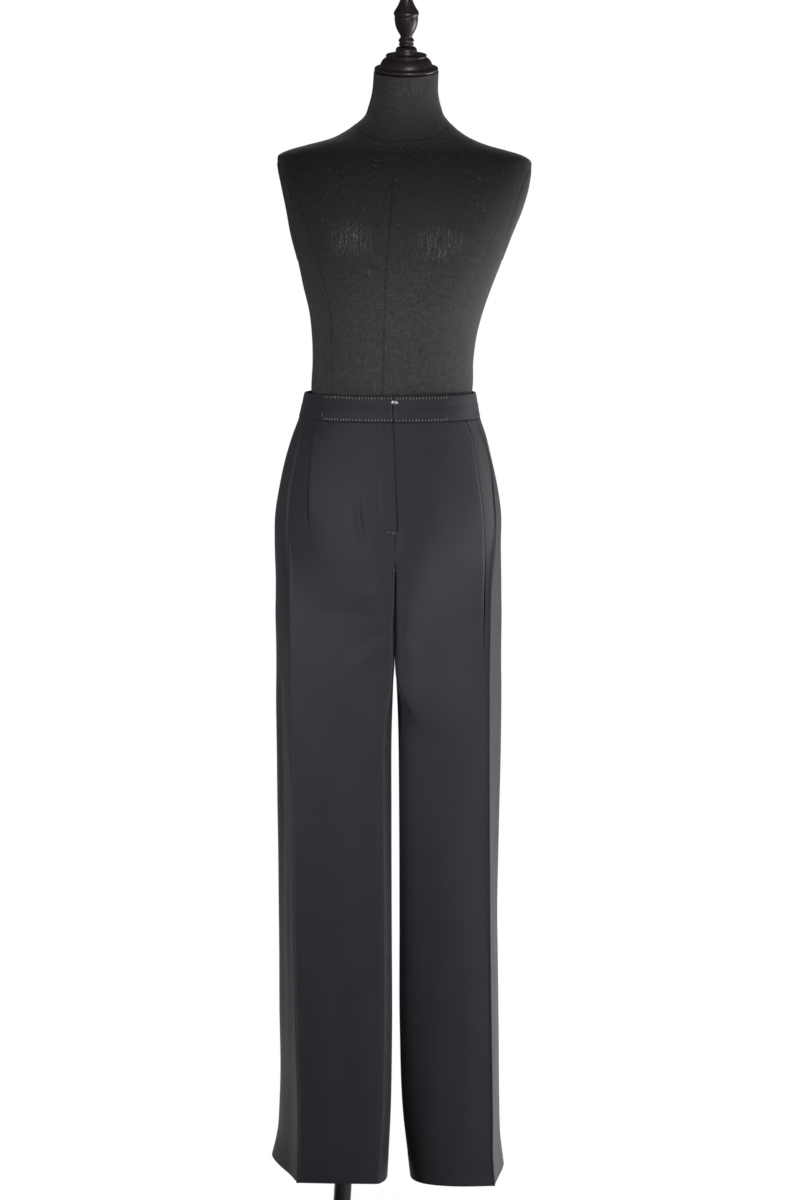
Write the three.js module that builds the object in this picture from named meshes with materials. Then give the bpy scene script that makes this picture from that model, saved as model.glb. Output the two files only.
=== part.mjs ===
// Palazzo trousers worn by a limbless dress form on a leaning pole.
//
// Units are millimetres, +Z is up, the wearer faces -Y and the wearer's right side is towards -X.
// The origin is the middle of the base plate's underside, at the foot of the pole.
//
// The cloth pieces are walls: a grid of points on the outer face and a second grid moved inwards
// by the cloth's thickness, closed along all four edges. Every horizontal section of a leg is
// drawn by four curves through the side seam, the front crease, the inside leg seam (or the
// centre front above the crotch) and the back crease.

import * as THREE from 'three';

// ---------------------------------------------------------------------------------------------
// Driving dimensions
// ---------------------------------------------------------------------------------------------

const hemHeight = { right: 150, left: 146 };
const crotchHeight = 953;
const crotchDepthY = -15;
const frontRiseCurve = 95;
const backRiseCurve = 110;
const waistSeamHeight = 1224.5;
const waistTopHeight = 1258.5;

const garmentCentreX = 81.2;
const clothThickness = 1.2;
const bandThickness = 2.4;
const bandStandsProud = 0.6;
const seamGap = 0.3;
const creaseHalfWidth = 1.0;
const seamsCloseFrom = 925;

// Reach of the curves' handles, as shares of the distance between the curve's ends.
const sideHandle = 0.33;
const sideHandleLostToTurn = 0.2;
const seatHandle = 0.36;

// Panels: spaces between their columns, from the side seam to the centre or the inside leg.
const frontSpaces = { side: 6, creaseToPleat: 2, pleatToCentre: 10 };
const backSpaces = { seat: 5, corner: 9 };

const bandEdgeRound = 1.2;
const bandEdgeDrop = 0.5;
const bandSwell = 0.2;
const bandSpaces = { frontRight: 14, frontLeft: 12, back: 36 };
const openingX = -2.3;
const bandSeamRight = 97;
const bandSeamLeft = 70.6;

const flyWidth = 26;
const flyBottomHeight = 1076;
const flyCurveHeight = 38;
const flyEdgeTop = -2.3;
const flyEdgeBottom = 3.8;
const flyThickness = 1.0;
const flyRowEasing = 1.4;
const flyPastCentre = 0.5;
const flySpaces = { down: 14, across: 6 };

const pleatSpread = 22;
const pleatOneFromCrease = { right: 25, left: 26 };

const hookWidth = 7.4;
const hookHeight = 7;
const hookThickness = 0.8;
const hookEndRadius = 2.2;
const hookTopBelowBand = 4.6;
const barWidth = 4.8;
const barHeight = 4;
const barThickness = 0.6;
const barEndRadius = 0.8;
const barInset = 0.8;
const barAboveHookBottom = 1.5;

const poleRadius = 12.5;
const leanPerHeight = 0.0569;
const baseRadius = 170;
const baseThickness = 10;
const baseEdgeRadius = 3;
const hubRadius = 27;
const hubHeight = 46;
const hubShoulderHeight = 30;
const hubNeckHeight = 44;
const hubNeckRadius = 20;
const hubTopRadius = 18;
const baseFootBevel = 1;

const neckTopHeight = 1691;
const neckTilt = THREE.MathUtils.degToRad(13);
const neckTiltStart = 1640;
const capGap = 0.35;

const sides = { torso: 32, pole: 28, plate: 56, neckCap: 32, finial: 24 };

const colours = {
  cloth: 0x35333b,
  torso: 0x2c2a2d,
  wood: 0x2a1d1c,
  metal: 0x26252a,
  hook: 0xb9b8bb,
};

const finishes = {
  cloth: { colour: colours.cloth, roughness: 0.72, metalness: 0 },
  torso: { colour: colours.torso, roughness: 0.85, metalness: 0 },
  wood: { colour: colours.wood, roughness: 0.3, metalness: 0 },
  metal: { colour: colours.metal, roughness: 0.4, metalness: 0.6 },
  hook: { colour: colours.hook, roughness: 0.3, metalness: 1 },
};

// ---------------------------------------------------------------------------------------------
// Section tables. "out" is the distance from the centre plane towards that leg's side, "y" is
// negative towards the front. Each table is read at any height by a smooth curve through its rows.
// ---------------------------------------------------------------------------------------------

const legColumns = ['height', 'sideOut', 'sideY', 'creaseOut', 'creaseY', 'frontY', 'innerOut', 'innerY'];

const rightLegRows = [
  [150, 173.5, 74, 138, -61, -68, 10.5, -28],
  [183, 165.5, 72, 136.5, -64, -68.5, 8.8, -36],
  [243, 160.5, 70, 135.5, -67, -70, 5.9, -45],
  [371, 160, 69, 137.9, -70, -72, 3.6, -53],
  [523, 159.6, 68, 140.2, -71, -74, 4, -55],
  [678, 161, 66, 140.5, -71, -78, 4.4, -50],
  [810, 162.5, 58, 142.6, -69, -87, 4.2, -40],
  [900, 163.5, 38, 142.7, -66, -97, 0.8, -28],
  [953, 165.5, 20, 142.8, -63, -104, 0.6, -15],
  [1000, 165.3, 11, 142.9, -59, -108, 0.6, -60],
  [1050, 166.5, 7, 143.6, -54, -111, 0.6, -111],
  [1089, 165.6, 6, 145.5, -50, -110.5, 0.6, -110],
  [1127, 159.6, 5, 143.3, -47, -109, 0.6, -109],
  [1170, 150, 3, 135.5, -42, -105, 0.6, -105],
  [1200, 140.6, 1, 130, -38, -101, 0.6, -101],
  [1224.5, 131.4, 0, 124.5, -33, -98, 0.6, -98],
  [1258.5, 123, 0, 116, -31, -92, 0.6, -92],
];

const leftLegRows = [
  [146, 152, 50, 140.5, -62, -81, 22, -24],
  [183, 146.5, 54, 137.5, -70, -81, 18, -33],
  [243, 143.5, 61, 136.8, -74, -82, 11.5, -42],
  [371, 141.8, 62, 134.6, -75, -83, 6.6, -50],
  [523, 139.5, 62, 132, -75, -84, 6.2, -53],
  [678, 142.5, 60, 130.5, -73, -86, 5.7, -50],
  [810, 144.8, 54, 129.9, -69, -91, 4.2, -42],
  [900, 146.3, 36, 129.9, -64, -98, 0.8, -28],
  [953, 148, 20, 130.8, -58, -104, 0.6, -15],
  [1000, 147.8, 11, 131.8, -52, -108, 0.6, -60],
  [1050, 146.9, 7, 135, -45, -111, 0.6, -111],
  [1089, 147.2, 6, 136.2, -41, -110.5, 0.6, -110],
  [1127, 142, 5, 133.8, -37, -109, 0.6, -109],
  [1170, 132.5, 3, 127.8, -31, -105, 0.6, -105],
  [1200, 125.2, 1, 119.5, -31, -101, 0.6, -101],
  [1224.5, 117, 0, 109, -36, -98, 0.6, -98],
  [1258.5, 110.2, 0, 103, -34, -92, 0.6, -92],
];

// How the curves of a front section run: where the bulge of the front sits as a share of the
// crease's distance out, how square its corner is (2 is an ellipse), how sharp the crease is,
// and how far, in degrees, the side seam has turned into a corner of its own.
const frontColumns = ['height', 'bulgeShare', 'squareness', 'creaseSharpness', 'sideTurn'];
const frontRows = [
  [150, 0, 3.4, 1, 42],
  [523, 0, 4.4, 1, 40],
  [810, 0, 5.5, 1, 36],
  [900, 0, 7.5, 1, 22],
  [953, 0.02, 9, 0.9, 10],
  [972, 0.1, 5, 0.8, 5],
  [1000, 0.25, 3, 0.6, 2],
  [1050, 0.52, 2.2, 0.25, 0],
  [1127, 0.68, 2, 0, 0],
  [1224.5, 0.75, 2, 0, 0],
  [1258.5, 0.72, 2, 0, 0],
];

// The back: where its crease runs as a share of the side seam's distance out, and the place of
// the rounded corner between the crease and the inside leg or the centre back.
const backColumns = ['height', 'creaseShare', 'creaseY', 'cornerOut', 'cornerY', 'seatY', 'squareness'];
const backRows = [
  [146, 0.44, 103, 14, 85, -15, 2.6],
  [523, 0.44, 104, 12, 87, -15, 2.6],
  [810, 0.46, 107, 9, 96, -15, 2.6],
  [900, 0.5, 108, 8, 106, -15, 2.5],
  [953, 0.54, 107, 12, 118, -15, 2.6],
  [1000, 0.6, 102, 36, 124, 121, 2.3],
  [1038, 0.66, 96, 54, 123, 123, 2.1],
  [1089, 0.7, 86, 60, 119, 119, 2],
  [1170, 0.72, 74, 56, 106, 106, 2],
  [1224.5, 0.72, 65, 50, 95, 95, 2],
  [1258.5, 0.72, 62, 48, 90, 90, 2],
];

// How far the folded edge of each pleat stands over the cloth beside it.
const pleatColumns = ['height', 'creasePleat', 'innerPleat'];
const pleatRows = [
  [1060, 0.0, 0.0],
  [1078, 0.7, 0.0],
  [1096, 1.5, 0.9],
  [1120, 2.6, 2.6],
  [1170, 3.2, 3.6],
  [1224.5, 3.2, 3.8],
];

// The dress form, one row a level: the middle's shift from the leaning axis, the half width, how
// far the front and the back reach, and how square the section is (2 is an ellipse).
const torsoColumns = ['height', 'shift', 'halfWidth', 'front', 'back', 'squareness'];
const torsoRows = [
  [1024, 5, 128, 88, 98, 2.1],
  [1034, 5, 138, 94, 106, 2.1],
  [1062, 5, 143, 97, 110, 2.1],
  [1100, 5, 141, 97, 110, 2.1],
  [1170, 5, 129, 92, 100, 2.1],
  [1218, 5, 113, 86, 88, 2],
  [1248, 5, 109.6, 85, 84, 2],
  [1266, 5.4, 110.8, 86, 84, 2],
  [1300, 4.7, 110.2, 89, 86, 2.1],
  [1338, 4.6, 113.2, 93, 88, 2.1],
  [1369, 5.2, 119, 98, 91, 2.1],
  [1400, 5.2, 128, 105, 94, 2.15],
  [1434, 6.3, 138.2, 111, 97, 2.2],
  [1472, 6.5, 150.4, 112, 98, 2.2],
  [1507, 8.4, 160.6, 104, 97, 2.25],
  [1541, 7.6, 168.6, 89, 92, 2.4],
  [1562, 5.4, 171.6, 77, 84, 2.5],
  [1573, 3.6, 171, 70, 78, 2.5],
  [1580, -2, 163.5, 66, 74, 2.4],
  [1586, -6.5, 147, 63, 71, 2.3],
  [1593, -7, 122, 60, 68, 2.2],
  [1601, -1.9, 96.7, 58, 65, 2.1],
  [1610, -0.4, 79.5, 55, 62, 2],
  [1620, 0.6, 66.2, 52, 58, 2],
  [1631, 1.6, 54.6, 49, 54, 2],
  [1644, 1, 49.4, 47, 51, 2],
  [1660, 0.6, 45.4, 45, 47, 2],
  [1691, 0.5, 43.8, 44, 44, 2],
];

// Turned outlines, radius and height above the piece's own foot.
const neckCapProfile = [
  [0, 0],
  [42.0, 0],
  [43.2, 1.4],
  [43.2, 4.0],
  [42.0, 5.5],
  [36.0, 6.0],
  [35.2, 9.0],
  [33.6, 13.0],
  [30.4, 16.8],
  [26.4, 18.8],
  [27.6, 20.0],
  [27.8, 21.6],
  [26.4, 22.8],
  [16.0, 22.8],
  [14.6, 24.4],
  [14.4, 29.6],
  [13.2, 31.6],
  [10.0, 33.2],
  [0, 33.2],
];

const finialProfile = [
  [0, 0],
  [8.6, 0],
  [10.0, 1.6],
  [10.2, 3.2],
  [8.8, 5.0],
  [10.4, 6.6],
  [10.6, 8.6],
  [8.4, 11.0],
  [7.4, 13.0],
  [10.2, 17.5],
  [13.4, 23.5],
  [15.4, 30.5],
  [16.0, 37.5],
  [15.6, 40.5],
  [16.8, 42.0],
  [17.1, 44.4],
  [16.2, 46.6],
  [15.2, 48.0],
  [12.4, 52.5],
  [9.6, 58.0],
  [7.8, 64.0],
  [8.6, 68.0],
  [9.4, 72.0],
  [8.2, 76.5],
  [5.0, 79.6],
  [0, 80.6],
];

// ---------------------------------------------------------------------------------------------
// Small tools
// ---------------------------------------------------------------------------------------------

/** Reads a table at a height with a smooth curve through its rows, giving named values. */
function readTable(columns, rows, height) {
  const heights = rows.map((row) => row[0]);
  const last = rows.length - 1;
  const clamped = Math.min(Math.max(height, heights[0]), heights[last]);
  let below = 0;
  while (below < last - 1 && clamped > heights[below + 1]) below += 1;
  const step = heights[below + 1] - heights[below];
  const t = (clamped - heights[below]) / step;
  const slopeAt = (row, column) => {
    const before = Math.max(row - 1, 0);
    const after = Math.min(row + 1, last);
    if (before === row || after === row) {
      return (rows[after][column] - rows[before][column]) / (heights[after] - heights[before]);
    }
    const gapBefore = heights[row] - heights[before];
    const gapAfter = heights[after] - heights[row];
    const slopeBefore = (rows[row][column] - rows[before][column]) / gapBefore;
    const slopeAfter = (rows[after][column] - rows[row][column]) / gapAfter;
    return (gapAfter * slopeBefore + gapBefore * slopeAfter) / (gapBefore + gapAfter);
  };
  const values = {};
  columns.forEach((name, column) => {
    const start = rows[below][column];
    const end = rows[below + 1][column];
    values[name] =
      (2 * t ** 3 - 3 * t ** 2 + 1) * start +
      (t ** 3 - 2 * t ** 2 + t) * step * slopeAt(below, column) +
      (3 * t ** 2 - 2 * t ** 3) * end +
      (t ** 3 - t ** 2) * step * slopeAt(below + 1, column);
  });
  return values;
}

const mix = (a, b, t) => a + (b - a) * t;

/** Evenly spaced numbers from start to end, both included. */
function steps(start, end, count) {
  return Array.from({ length: count + 1 }, (_, index) => mix(start, end, index / count));
}

/** A closed mesh from a grid of outer points and a matching grid of inner points. */
function wallGeometry(outer, inner) {
  const rowCount = outer.length;
  const columnCount = outer[0].length;
  const positions = [];
  for (const grid of [outer, inner]) {
    for (const row of grid) {
      for (const point of row) positions.push(point.x, point.y, point.z);
    }
  }
  const layer = rowCount * columnCount;
  const outside = (row, column) => row * columnCount + column;
  const inside = (row, column) => layer + outside(row, column);
  const triangles = [];
  const quad = (a, b, c, d) => triangles.push(a, b, c, a, c, d);
  for (let row = 0; row < rowCount - 1; row += 1) {
    for (let column = 0; column < columnCount - 1; column += 1) {
      const [below, right] = [row + 1, column + 1];
      quad(outside(row, column), outside(below, column), outside(below, right), outside(row, right));
      quad(inside(row, column), inside(row, right), inside(below, right), inside(below, column));
    }
  }
  const lastRow = rowCount - 1;
  const lastColumn = columnCount - 1;
  for (let column = 0; column < lastColumn; column += 1) {
    const right = column + 1;
    quad(outside(0, column), outside(0, right), inside(0, right), inside(0, column));
    quad(outside(lastRow, column), inside(lastRow, column), inside(lastRow, right), outside(lastRow, right));
  }
  for (let row = 0; row < lastRow; row += 1) {
    const below = row + 1;
    quad(outside(row, 0), inside(row, 0), inside(below, 0), outside(below, 0));
    quad(
      outside(row, lastColumn),
      outside(below, lastColumn),
      inside(below, lastColumn),
      inside(row, lastColumn),
    );
  }
  return indexedGeometry(positions, triangles);
}

/** An indexed geometry whose faces are turned outwards, whichever way the grid ran. */
function indexedGeometry(positions, triangles) {
  const corner = (index) => new THREE.Vector3().fromArray(positions, index * 3);
  let volume = 0;
  for (let index = 0; index < triangles.length; index += 3) {
    const a = corner(triangles[index]);
    const b = corner(triangles[index + 1]);
    const c = corner(triangles[index + 2]);
    volume += a.dot(b.cross(c));
  }
  if (volume < 0) {
    for (let index = 0; index < triangles.length; index += 3) {
      [triangles[index + 1], triangles[index + 2]] = [triangles[index + 2], triangles[index + 1]];
    }
  }
  const geometry = new THREE.BufferGeometry();
  geometry.setAttribute('position', new THREE.Float32BufferAttribute(positions, 3));
  geometry.setIndex(triangles);
  geometry.computeVertexNormals();
  return geometry;
}

/** Unit normals of a grid from the differences between neighbouring points. */
function gridNormals(grid) {
  const lastRow = grid.length - 1;
  const lastColumn = grid[0].length - 1;
  return grid.map((row, rowIndex) =>
    row.map((_, columnIndex) => {
      const across = new THREE.Vector3().subVectors(
        row[Math.min(columnIndex + 1, lastColumn)],
        row[Math.max(columnIndex - 1, 0)],
      );
      const down = new THREE.Vector3().subVectors(
        grid[Math.min(rowIndex + 1, lastRow)][columnIndex],
        grid[Math.max(rowIndex - 1, 0)][columnIndex],
      );
      return across.cross(down).normalize();
    }),
  );
}

/** A solid through closed rings of points, with a flat cap on its first and last ring. */
function ringSolid(rings) {
  const count = rings[0].length;
  const positions = rings.flat().flatMap((point) => [point.x, point.y, point.z]);
  const triangles = [];
  for (let ring = 0; ring < rings.length - 1; ring += 1) {
    for (let index = 0; index < count; index += 1) {
      const next = (index + 1) % count;
      const a = ring * count + index;
      const b = ring * count + next;
      triangles.push(a, b, b + count, a, b + count, a + count);
    }
  }
  for (const [ring, flip] of [[0, true], [rings.length - 1, false]]) {
    const middle = rings[ring].reduce((sum, point) => sum.add(point), new THREE.Vector3()).divideScalar(count);
    const centre = positions.length / 3;
    positions.push(middle.x, middle.y, middle.z);
    for (let index = 0; index < count; index += 1) {
      const a = ring * count + index;
      const b = ring * count + ((index + 1) % count);
      triangles.push(...(flip ? [centre, b, a] : [centre, a, b]));
    }
  }
  return indexedGeometry(positions, triangles);
}

/** A mesh with its own plain material. */
function piece(name, geometry, { colour, roughness, metalness }) {
  const material = new THREE.MeshStandardMaterial({ color: colour, roughness, metalness });
  const mesh = new THREE.Mesh(geometry, material);
  mesh.name = name;
  return mesh;
}

// ---------------------------------------------------------------------------------------------
// Sections of the trousers. A plan point is a Vector2 of (out, y).
// ---------------------------------------------------------------------------------------------

const legs = {
  right: { side: -1, rows: rightLegRows, hem: hemHeight.right, cornerSharpness: 1.0 },
  left: { side: 1, rows: leftLegRows, hem: hemHeight.left, cornerSharpness: 0.6 },
};

/** The inner end of a front or back section: centre seam, then crotch curve, then inside leg. */
function innerEndY(height, seatOrFrontY, innerY, riseCurve, seatAtCurveTop) {
  if (height >= crotchHeight + riseCurve) return seatOrFrontY;
  if (height <= crotchHeight) return innerY;
  const sine = 1 - (height - crotchHeight) / riseCurve;
  return mix(crotchDepthY, seatAtCurveTop, Math.sqrt(1 - sine * sine));
}

/** A quarter of a superellipse from one point round a corner to another. */
class CornerCurve extends THREE.Curve {
  constructor(start, corner, end, squareness) {
    super();
    Object.assign(this, { start, corner, end, squareness });
  }

  getPoint(t, target = new THREE.Vector2()) {
    const angle = (t * Math.PI) / 2;
    const cosine = Math.cos(angle);
    const sine = Math.sin(angle);
    const power = this.squareness;
    const radius = (Math.abs(cosine) ** power + sine ** power) ** (-1 / power);
    return target.copy(this.corner)
      .addScaledVector(new THREE.Vector2().subVectors(this.start, this.corner), 1 - radius * sine)
      .addScaledVector(new THREE.Vector2().subVectors(this.end, this.corner), 1 - radius * cosine);
  }
}

/** The four curves of one leg's outline at a height, and the seam directions between. */
function legSection(leg, height) {
  const row = readTable(legColumns, leg.rows, height);
  const front = readTable(frontColumns, frontRows, height);
  const back = readTable(backColumns, backRows, height);
  const curveTop = readTable(legColumns, leg.rows, crotchHeight + frontRiseCurve);
  const seatTop = readTable(backColumns, backRows, crotchHeight + backRiseCurve);
  const aboveCrotch = height > crotchHeight - 0.01;

  const side = new THREE.Vector2(row.sideOut, row.sideY);
  const crease = new THREE.Vector2(row.creaseOut, row.creaseY);
  const closing = Math.max(0, (height - seamsCloseFrom) / (crotchHeight - seamsCloseFrom));
  const innerOut = aboveCrotch ? seamGap / 2 : mix(row.innerOut, seamGap / 2, closing);
  const frontEndY = innerEndY(height, row.frontY, row.innerY, frontRiseCurve, curveTop.frontY);
  const backEndY = innerEndY(height, back.seatY, row.innerY, backRiseCurve, seatTop.seatY);
  const frontPull = height <= crotchHeight + frontRiseCurve ? seamGap / 2 : 0;
  const backPull = height <= crotchHeight + backRiseCurve ? seamGap / 2 : 0;
  const frontEnd = new THREE.Vector2(innerOut, frontEndY - frontPull);
  const backEnd = new THREE.Vector2(innerOut, backEndY + backPull);

  const bulgeOut = mix(row.innerOut, row.creaseOut, front.bulgeShare);
  const frontCorner = new THREE.Vector2(bulgeOut, row.frontY);
  const frontSquareness = 2 + (front.squareness - 2) * leg.cornerSharpness;
  const frontCurve = new CornerCurve(crease, frontCorner, frontEnd, frontSquareness);

  const turn = THREE.MathUtils.degToRad(front.sideTurn);
  const sideForward = new THREE.Vector2(Math.sin(turn), -Math.cos(turn));
  const sideReach = side.distanceTo(crease) * (sideHandle - sideHandleLostToTurn * Math.sin(turn));
  const intoFront = new THREE.Vector2().subVectors(frontCorner, crease).normalize();
  const chord = new THREE.Vector2().subVectors(crease, side).normalize();
  const alongSide = intoFront.clone().lerp(chord, front.creaseSharpness).normalize();
  const sideStart = side.clone().addScaledVector(sideForward, seamGap / 2);
  const sideCurve = new THREE.CubicBezierCurve(
    sideStart,
    sideStart.clone().addScaledVector(sideForward, sideReach),
    crease.clone().addScaledVector(alongSide, -sideHandle * side.distanceTo(crease)),
    crease,
  );

  const backCrease = new THREE.Vector2(row.sideOut * back.creaseShare, back.creaseY);
  const backCorner = new THREE.Vector2(Math.max(back.cornerOut, row.innerOut + 1), back.cornerY);
  const backReach = side.distanceTo(backCrease);
  const intoBack = new THREE.Vector2().subVectors(backCorner, backCrease).normalize();
  const backStart = side.clone().addScaledVector(sideForward, -seamGap / 2);
  const seatCurve = new THREE.CubicBezierCurve(
    backStart,
    backStart.clone().addScaledVector(sideForward, -seatHandle * backReach),
    backCrease.clone().addScaledVector(intoBack, -seatHandle * backReach),
    backCrease,
  );
  const backCurve = new CornerCurve(backCrease, backCorner, backEnd, back.squareness);

  return { sideCurve, frontCurve, seatCurve, backCurve, sideForward };
}

/** The place along a curve, from 0 to 1, that lies a given length from its start. */
function placeAtLength(curve, length) {
  const samples = 60;
  let travelled = 0;
  let previous = curve.getPoint(0);
  for (let index = 1; index <= samples; index += 1) {
    const point = curve.getPoint(index / samples);
    const piecewise = point.distanceTo(previous);
    if (travelled + piecewise >= length) return (index - 1 + (length - travelled) / piecewise) / samples;
    travelled += piecewise;
    previous = point;
  }
  return 1;
}

/** A plan point of one leg at a height, as a point in space. */
function toSpace(leg, plan, height) {
  return new THREE.Vector3(garmentCentreX + leg.side * plan.x, plan.y, height);
}

/** Moves a plan point outwards, square to its curve. */
function raised(curve, place, amount) {
  const tangent = curve.getTangent(Math.min(Math.max(place, 0.001), 0.999));
  const outward = new THREE.Vector2(-tangent.y, tangent.x);
  const point = curve.getPoint(place);
  return point.addScaledVector(outward, amount);
}

// ---------------------------------------------------------------------------------------------
// Leg panels
// ---------------------------------------------------------------------------------------------

const riseRows = [0.22, 0.44, 0.62, 0.77, 0.88, 0.96].map((sine) => crotchHeight + frontRiseCurve * (1 - sine));

/** Heights of the rows of one leg's panels, closer together round the crotch and the hem. */
const panelHeights = (leg) => [
  waistSeamHeight - seamGap, 1207, 1189, 1170, 1148, 1124, 1098, 1072, crotchHeight + frontRiseCurve,
  ...riseRows, crotchHeight,
  938, 915, 886, 846, 790, 710, 620, 525, 430, 335, 255, 203, 172, leg.hem,
];

/** Columns of a front panel at one height, from the side seam to the centre or inside leg. */
function frontPanelRow(leg, legName, height) {
  const { sideCurve, frontCurve } = legSection(leg, height);
  const pleat = readTable(pleatColumns, pleatRows, height);
  const creaseLift = height > pleatRows[0][0] ? pleat.creasePleat : 0;
  const innerLift = height > pleatRows[0][0] ? pleat.innerPleat : 0;
  const sideEnd = placeAtLength(sideCurve, sideCurve.getLength() - creaseHalfWidth);
  const frontStart = placeAtLength(frontCurve, creaseHalfWidth);
  const innerGap = pleatOneFromCrease[legName];
  const beforePleat = placeAtLength(frontCurve, innerGap - creaseHalfWidth);
  const afterPleat = placeAtLength(frontCurve, innerGap + creaseHalfWidth);
  const frontLength = frontCurve.getLength();

  const plan = [];
  for (const place of steps(0, sideEnd, frontSpaces.side)) plan.push(raised(sideCurve, place, 0));
  for (const place of steps(frontStart, beforePleat, frontSpaces.creaseToPleat)) {
    const distance = place * frontLength;
    plan.push(raised(frontCurve, place, creaseLift * Math.exp(-distance / pleatSpread)));
  }
  for (const place of steps(afterPleat, 1, frontSpaces.pleatToCentre)) {
    const fromPleat = (place - afterPleat) * frontLength;
    const fromCrease = place * frontLength;
    const innerPart = innerLift * Math.exp(-fromPleat / pleatSpread);
    const creasePart = creaseLift * Math.exp(-fromCrease / pleatSpread);
    plan.push(raised(frontCurve, place, place < 1 ? innerPart + creasePart : 0));
  }
  return plan.map((point) => toSpace(leg, point, height));
}

/** Columns of a back panel at one height, from the side seam to the centre or inside leg. */
function backPanelRow(leg, height) {
  const { seatCurve, backCurve } = legSection(leg, height);
  const plan = [];
  for (const place of steps(0, 1, backSpaces.seat)) plan.push(seatCurve.getPoint(place));
  for (const place of steps(0, 1, backSpaces.corner).slice(1)) plan.push(backCurve.getPoint(place));
  return plan.map((point) => toSpace(leg, point, height));
}

/** Turns a panel's outer grid into a wall, with its edges kept square to the seams they meet. */
function panelWall(leg, outer, heights, frontSign) {
  const normals = gridNormals(outer);
  const lastColumn = outer[0].length - 1;
  const reference = normals[2][2];
  const outwards = reference.x * leg.side > 0 ? 1 : -1;
  const inner = outer.map((row, rowIndex) => {
    const height = heights[rowIndex];
    const { sideForward } = legSection(leg, height);
    const sideNormal = new THREE.Vector3(leg.side * -sideForward.y, sideForward.x, 0).normalize();
    return row.map((point, column) => {
      const normal = normals[rowIndex][column].clone().multiplyScalar(outwards);
      if (column === 0) normal.copy(sideNormal);
      if (column === lastColumn) normal.copy(innerEdgeNormal(leg, outer, rowIndex, height, frontSign));
      if (rowIndex === 0 || rowIndex === outer.length - 1) normal.setZ(0).normalize();
      return point.clone().addScaledVector(normal, -clothThickness);
    });
  });
  return wallGeometry(outer, inner);
}

/** The outward direction at the centre seam, round the crotch curve and down the inside leg. */
function innerEdgeNormal(leg, outer, rowIndex, height, frontSign) {
  if (height < crotchHeight - 0.01) return new THREE.Vector3(-leg.side, 0, 0);
  if (height < crotchHeight + 0.01) return new THREE.Vector3(-leg.side, 0, -1).normalize();
  const column = outer[0].length - 1;
  const above = outer[Math.max(rowIndex - 1, 0)][column];
  const below = outer[rowIndex + 1][column];
  const down = new THREE.Vector3().subVectors(below, above);
  return new THREE.Vector3(0, frontSign * Math.abs(down.z), -Math.abs(down.y)).normalize();
}

function frontPanel(legName) {
  const leg = legs[legName];
  const heights = panelHeights(leg);
  const outer = heights.map((height) => frontPanelRow(leg, legName, height));
  return panelWall(leg, outer, heights, -1);
}

function backPanel(legName) {
  const leg = legs[legName];
  const heights = panelHeights(leg);
  const outer = heights.map((height) => backPanelRow(leg, height));
  return panelWall(leg, outer, heights, 1);
}

// ---------------------------------------------------------------------------------------------
// Waistband
// ---------------------------------------------------------------------------------------------

/** The whole waist as one loop of plan points in space, from centre front round the right. */
function waistLoop(height) {
  const share = steps(0, 1, 24);
  const half = (leg) => {
    const { sideCurve, frontCurve, seatCurve, backCurve } = legSection(leg, height);
    const centreToSide = [
      ...share.map((t) => frontCurve.getPoint(1 - t)),
      ...share.map((t) => sideCurve.getPoint(1 - t)),
    ];
    const sideToBack = [
      ...share.map((t) => seatCurve.getPoint(t)),
      ...share.map((t) => backCurve.getPoint(t)),
    ];
    return [...centreToSide, ...sideToBack].map((plan) => toSpace(leg, plan, height));
  };
  const loop = [...half(legs.right), ...half(legs.left).reverse()];
  loop.push(loop[0].clone());
  const lengths = [0];
  for (let index = 1; index < loop.length; index += 1) {
    lengths.push(lengths[index - 1] + loop[index].distanceTo(loop[index - 1]));
  }
  return { loop, lengths, total: lengths[lengths.length - 1] };
}

/** A point of the loop at a length from centre front. */
function onLoop({ loop, lengths, total }, length) {
  const wrapped = ((length % total) + total) % total;
  let index = 0;
  while (index < loop.length - 2 && lengths[index + 1] < wrapped) index += 1;
  const span = Math.max(lengths[index + 1] - lengths[index], 1e-6);
  return loop[index].clone().lerp(loop[index + 1], (wrapped - lengths[index]) / span);
}

/** The length from centre front at which the loop is a given distance from the centre plane. */
function lengthAtOut(loopData, out, side) {
  let length = 0;
  while (Math.abs(onLoop(loopData, side * length).x - garmentCentreX) < out) length += 0.25;
  return length;
}

/** One piece of waistband between two lengths of the loop, each from centre front. */
function bandPiece(startAt, endAt, spaces) {
  const levels = [
    [waistSeamHeight, -bandEdgeDrop],
    [waistSeamHeight + bandEdgeRound, 0],
    [(waistSeamHeight + waistTopHeight) / 2, bandSwell],
    [waistTopHeight - bandEdgeRound, 0],
    [waistTopHeight, -bandEdgeDrop],
  ];
  const outer = [];
  const inner = [];
  for (const [height, swell] of levels) {
    const loopData = waistLoop(height);
    const start = startAt(loopData);
    const end = endAt(loopData);
    const outerRow = [];
    const innerRow = [];
    for (const length of steps(start, end, spaces)) {
      const point = onLoop(loopData, length);
      const ahead = onLoop(loopData, length + 2);
      const behind = onLoop(loopData, length - 2);
      const along = ahead.sub(behind).normalize();
      const outward = new THREE.Vector3(along.y, -along.x, 0).multiplyScalar(-1);
      outerRow.push(point.clone().addScaledVector(outward, bandStandsProud + swell));
      innerRow.push(point.clone().addScaledVector(outward, bandStandsProud - bandThickness));
    }
    outer.push(outerRow);
    inner.push(innerRow);
  }
  return wallGeometry(outer, inner);
}

const openingLength = -openingX;
const rightSeamLength = (data) => lengthAtOut(data, bandSeamRight, 1);
const leftSeamLength = (data) => lengthAtOut(data, bandSeamLeft, -1);

// ---------------------------------------------------------------------------------------------
// Fly placket: a shaped layer over the centre of the front, its free edge over the left leg
// ---------------------------------------------------------------------------------------------

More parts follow.
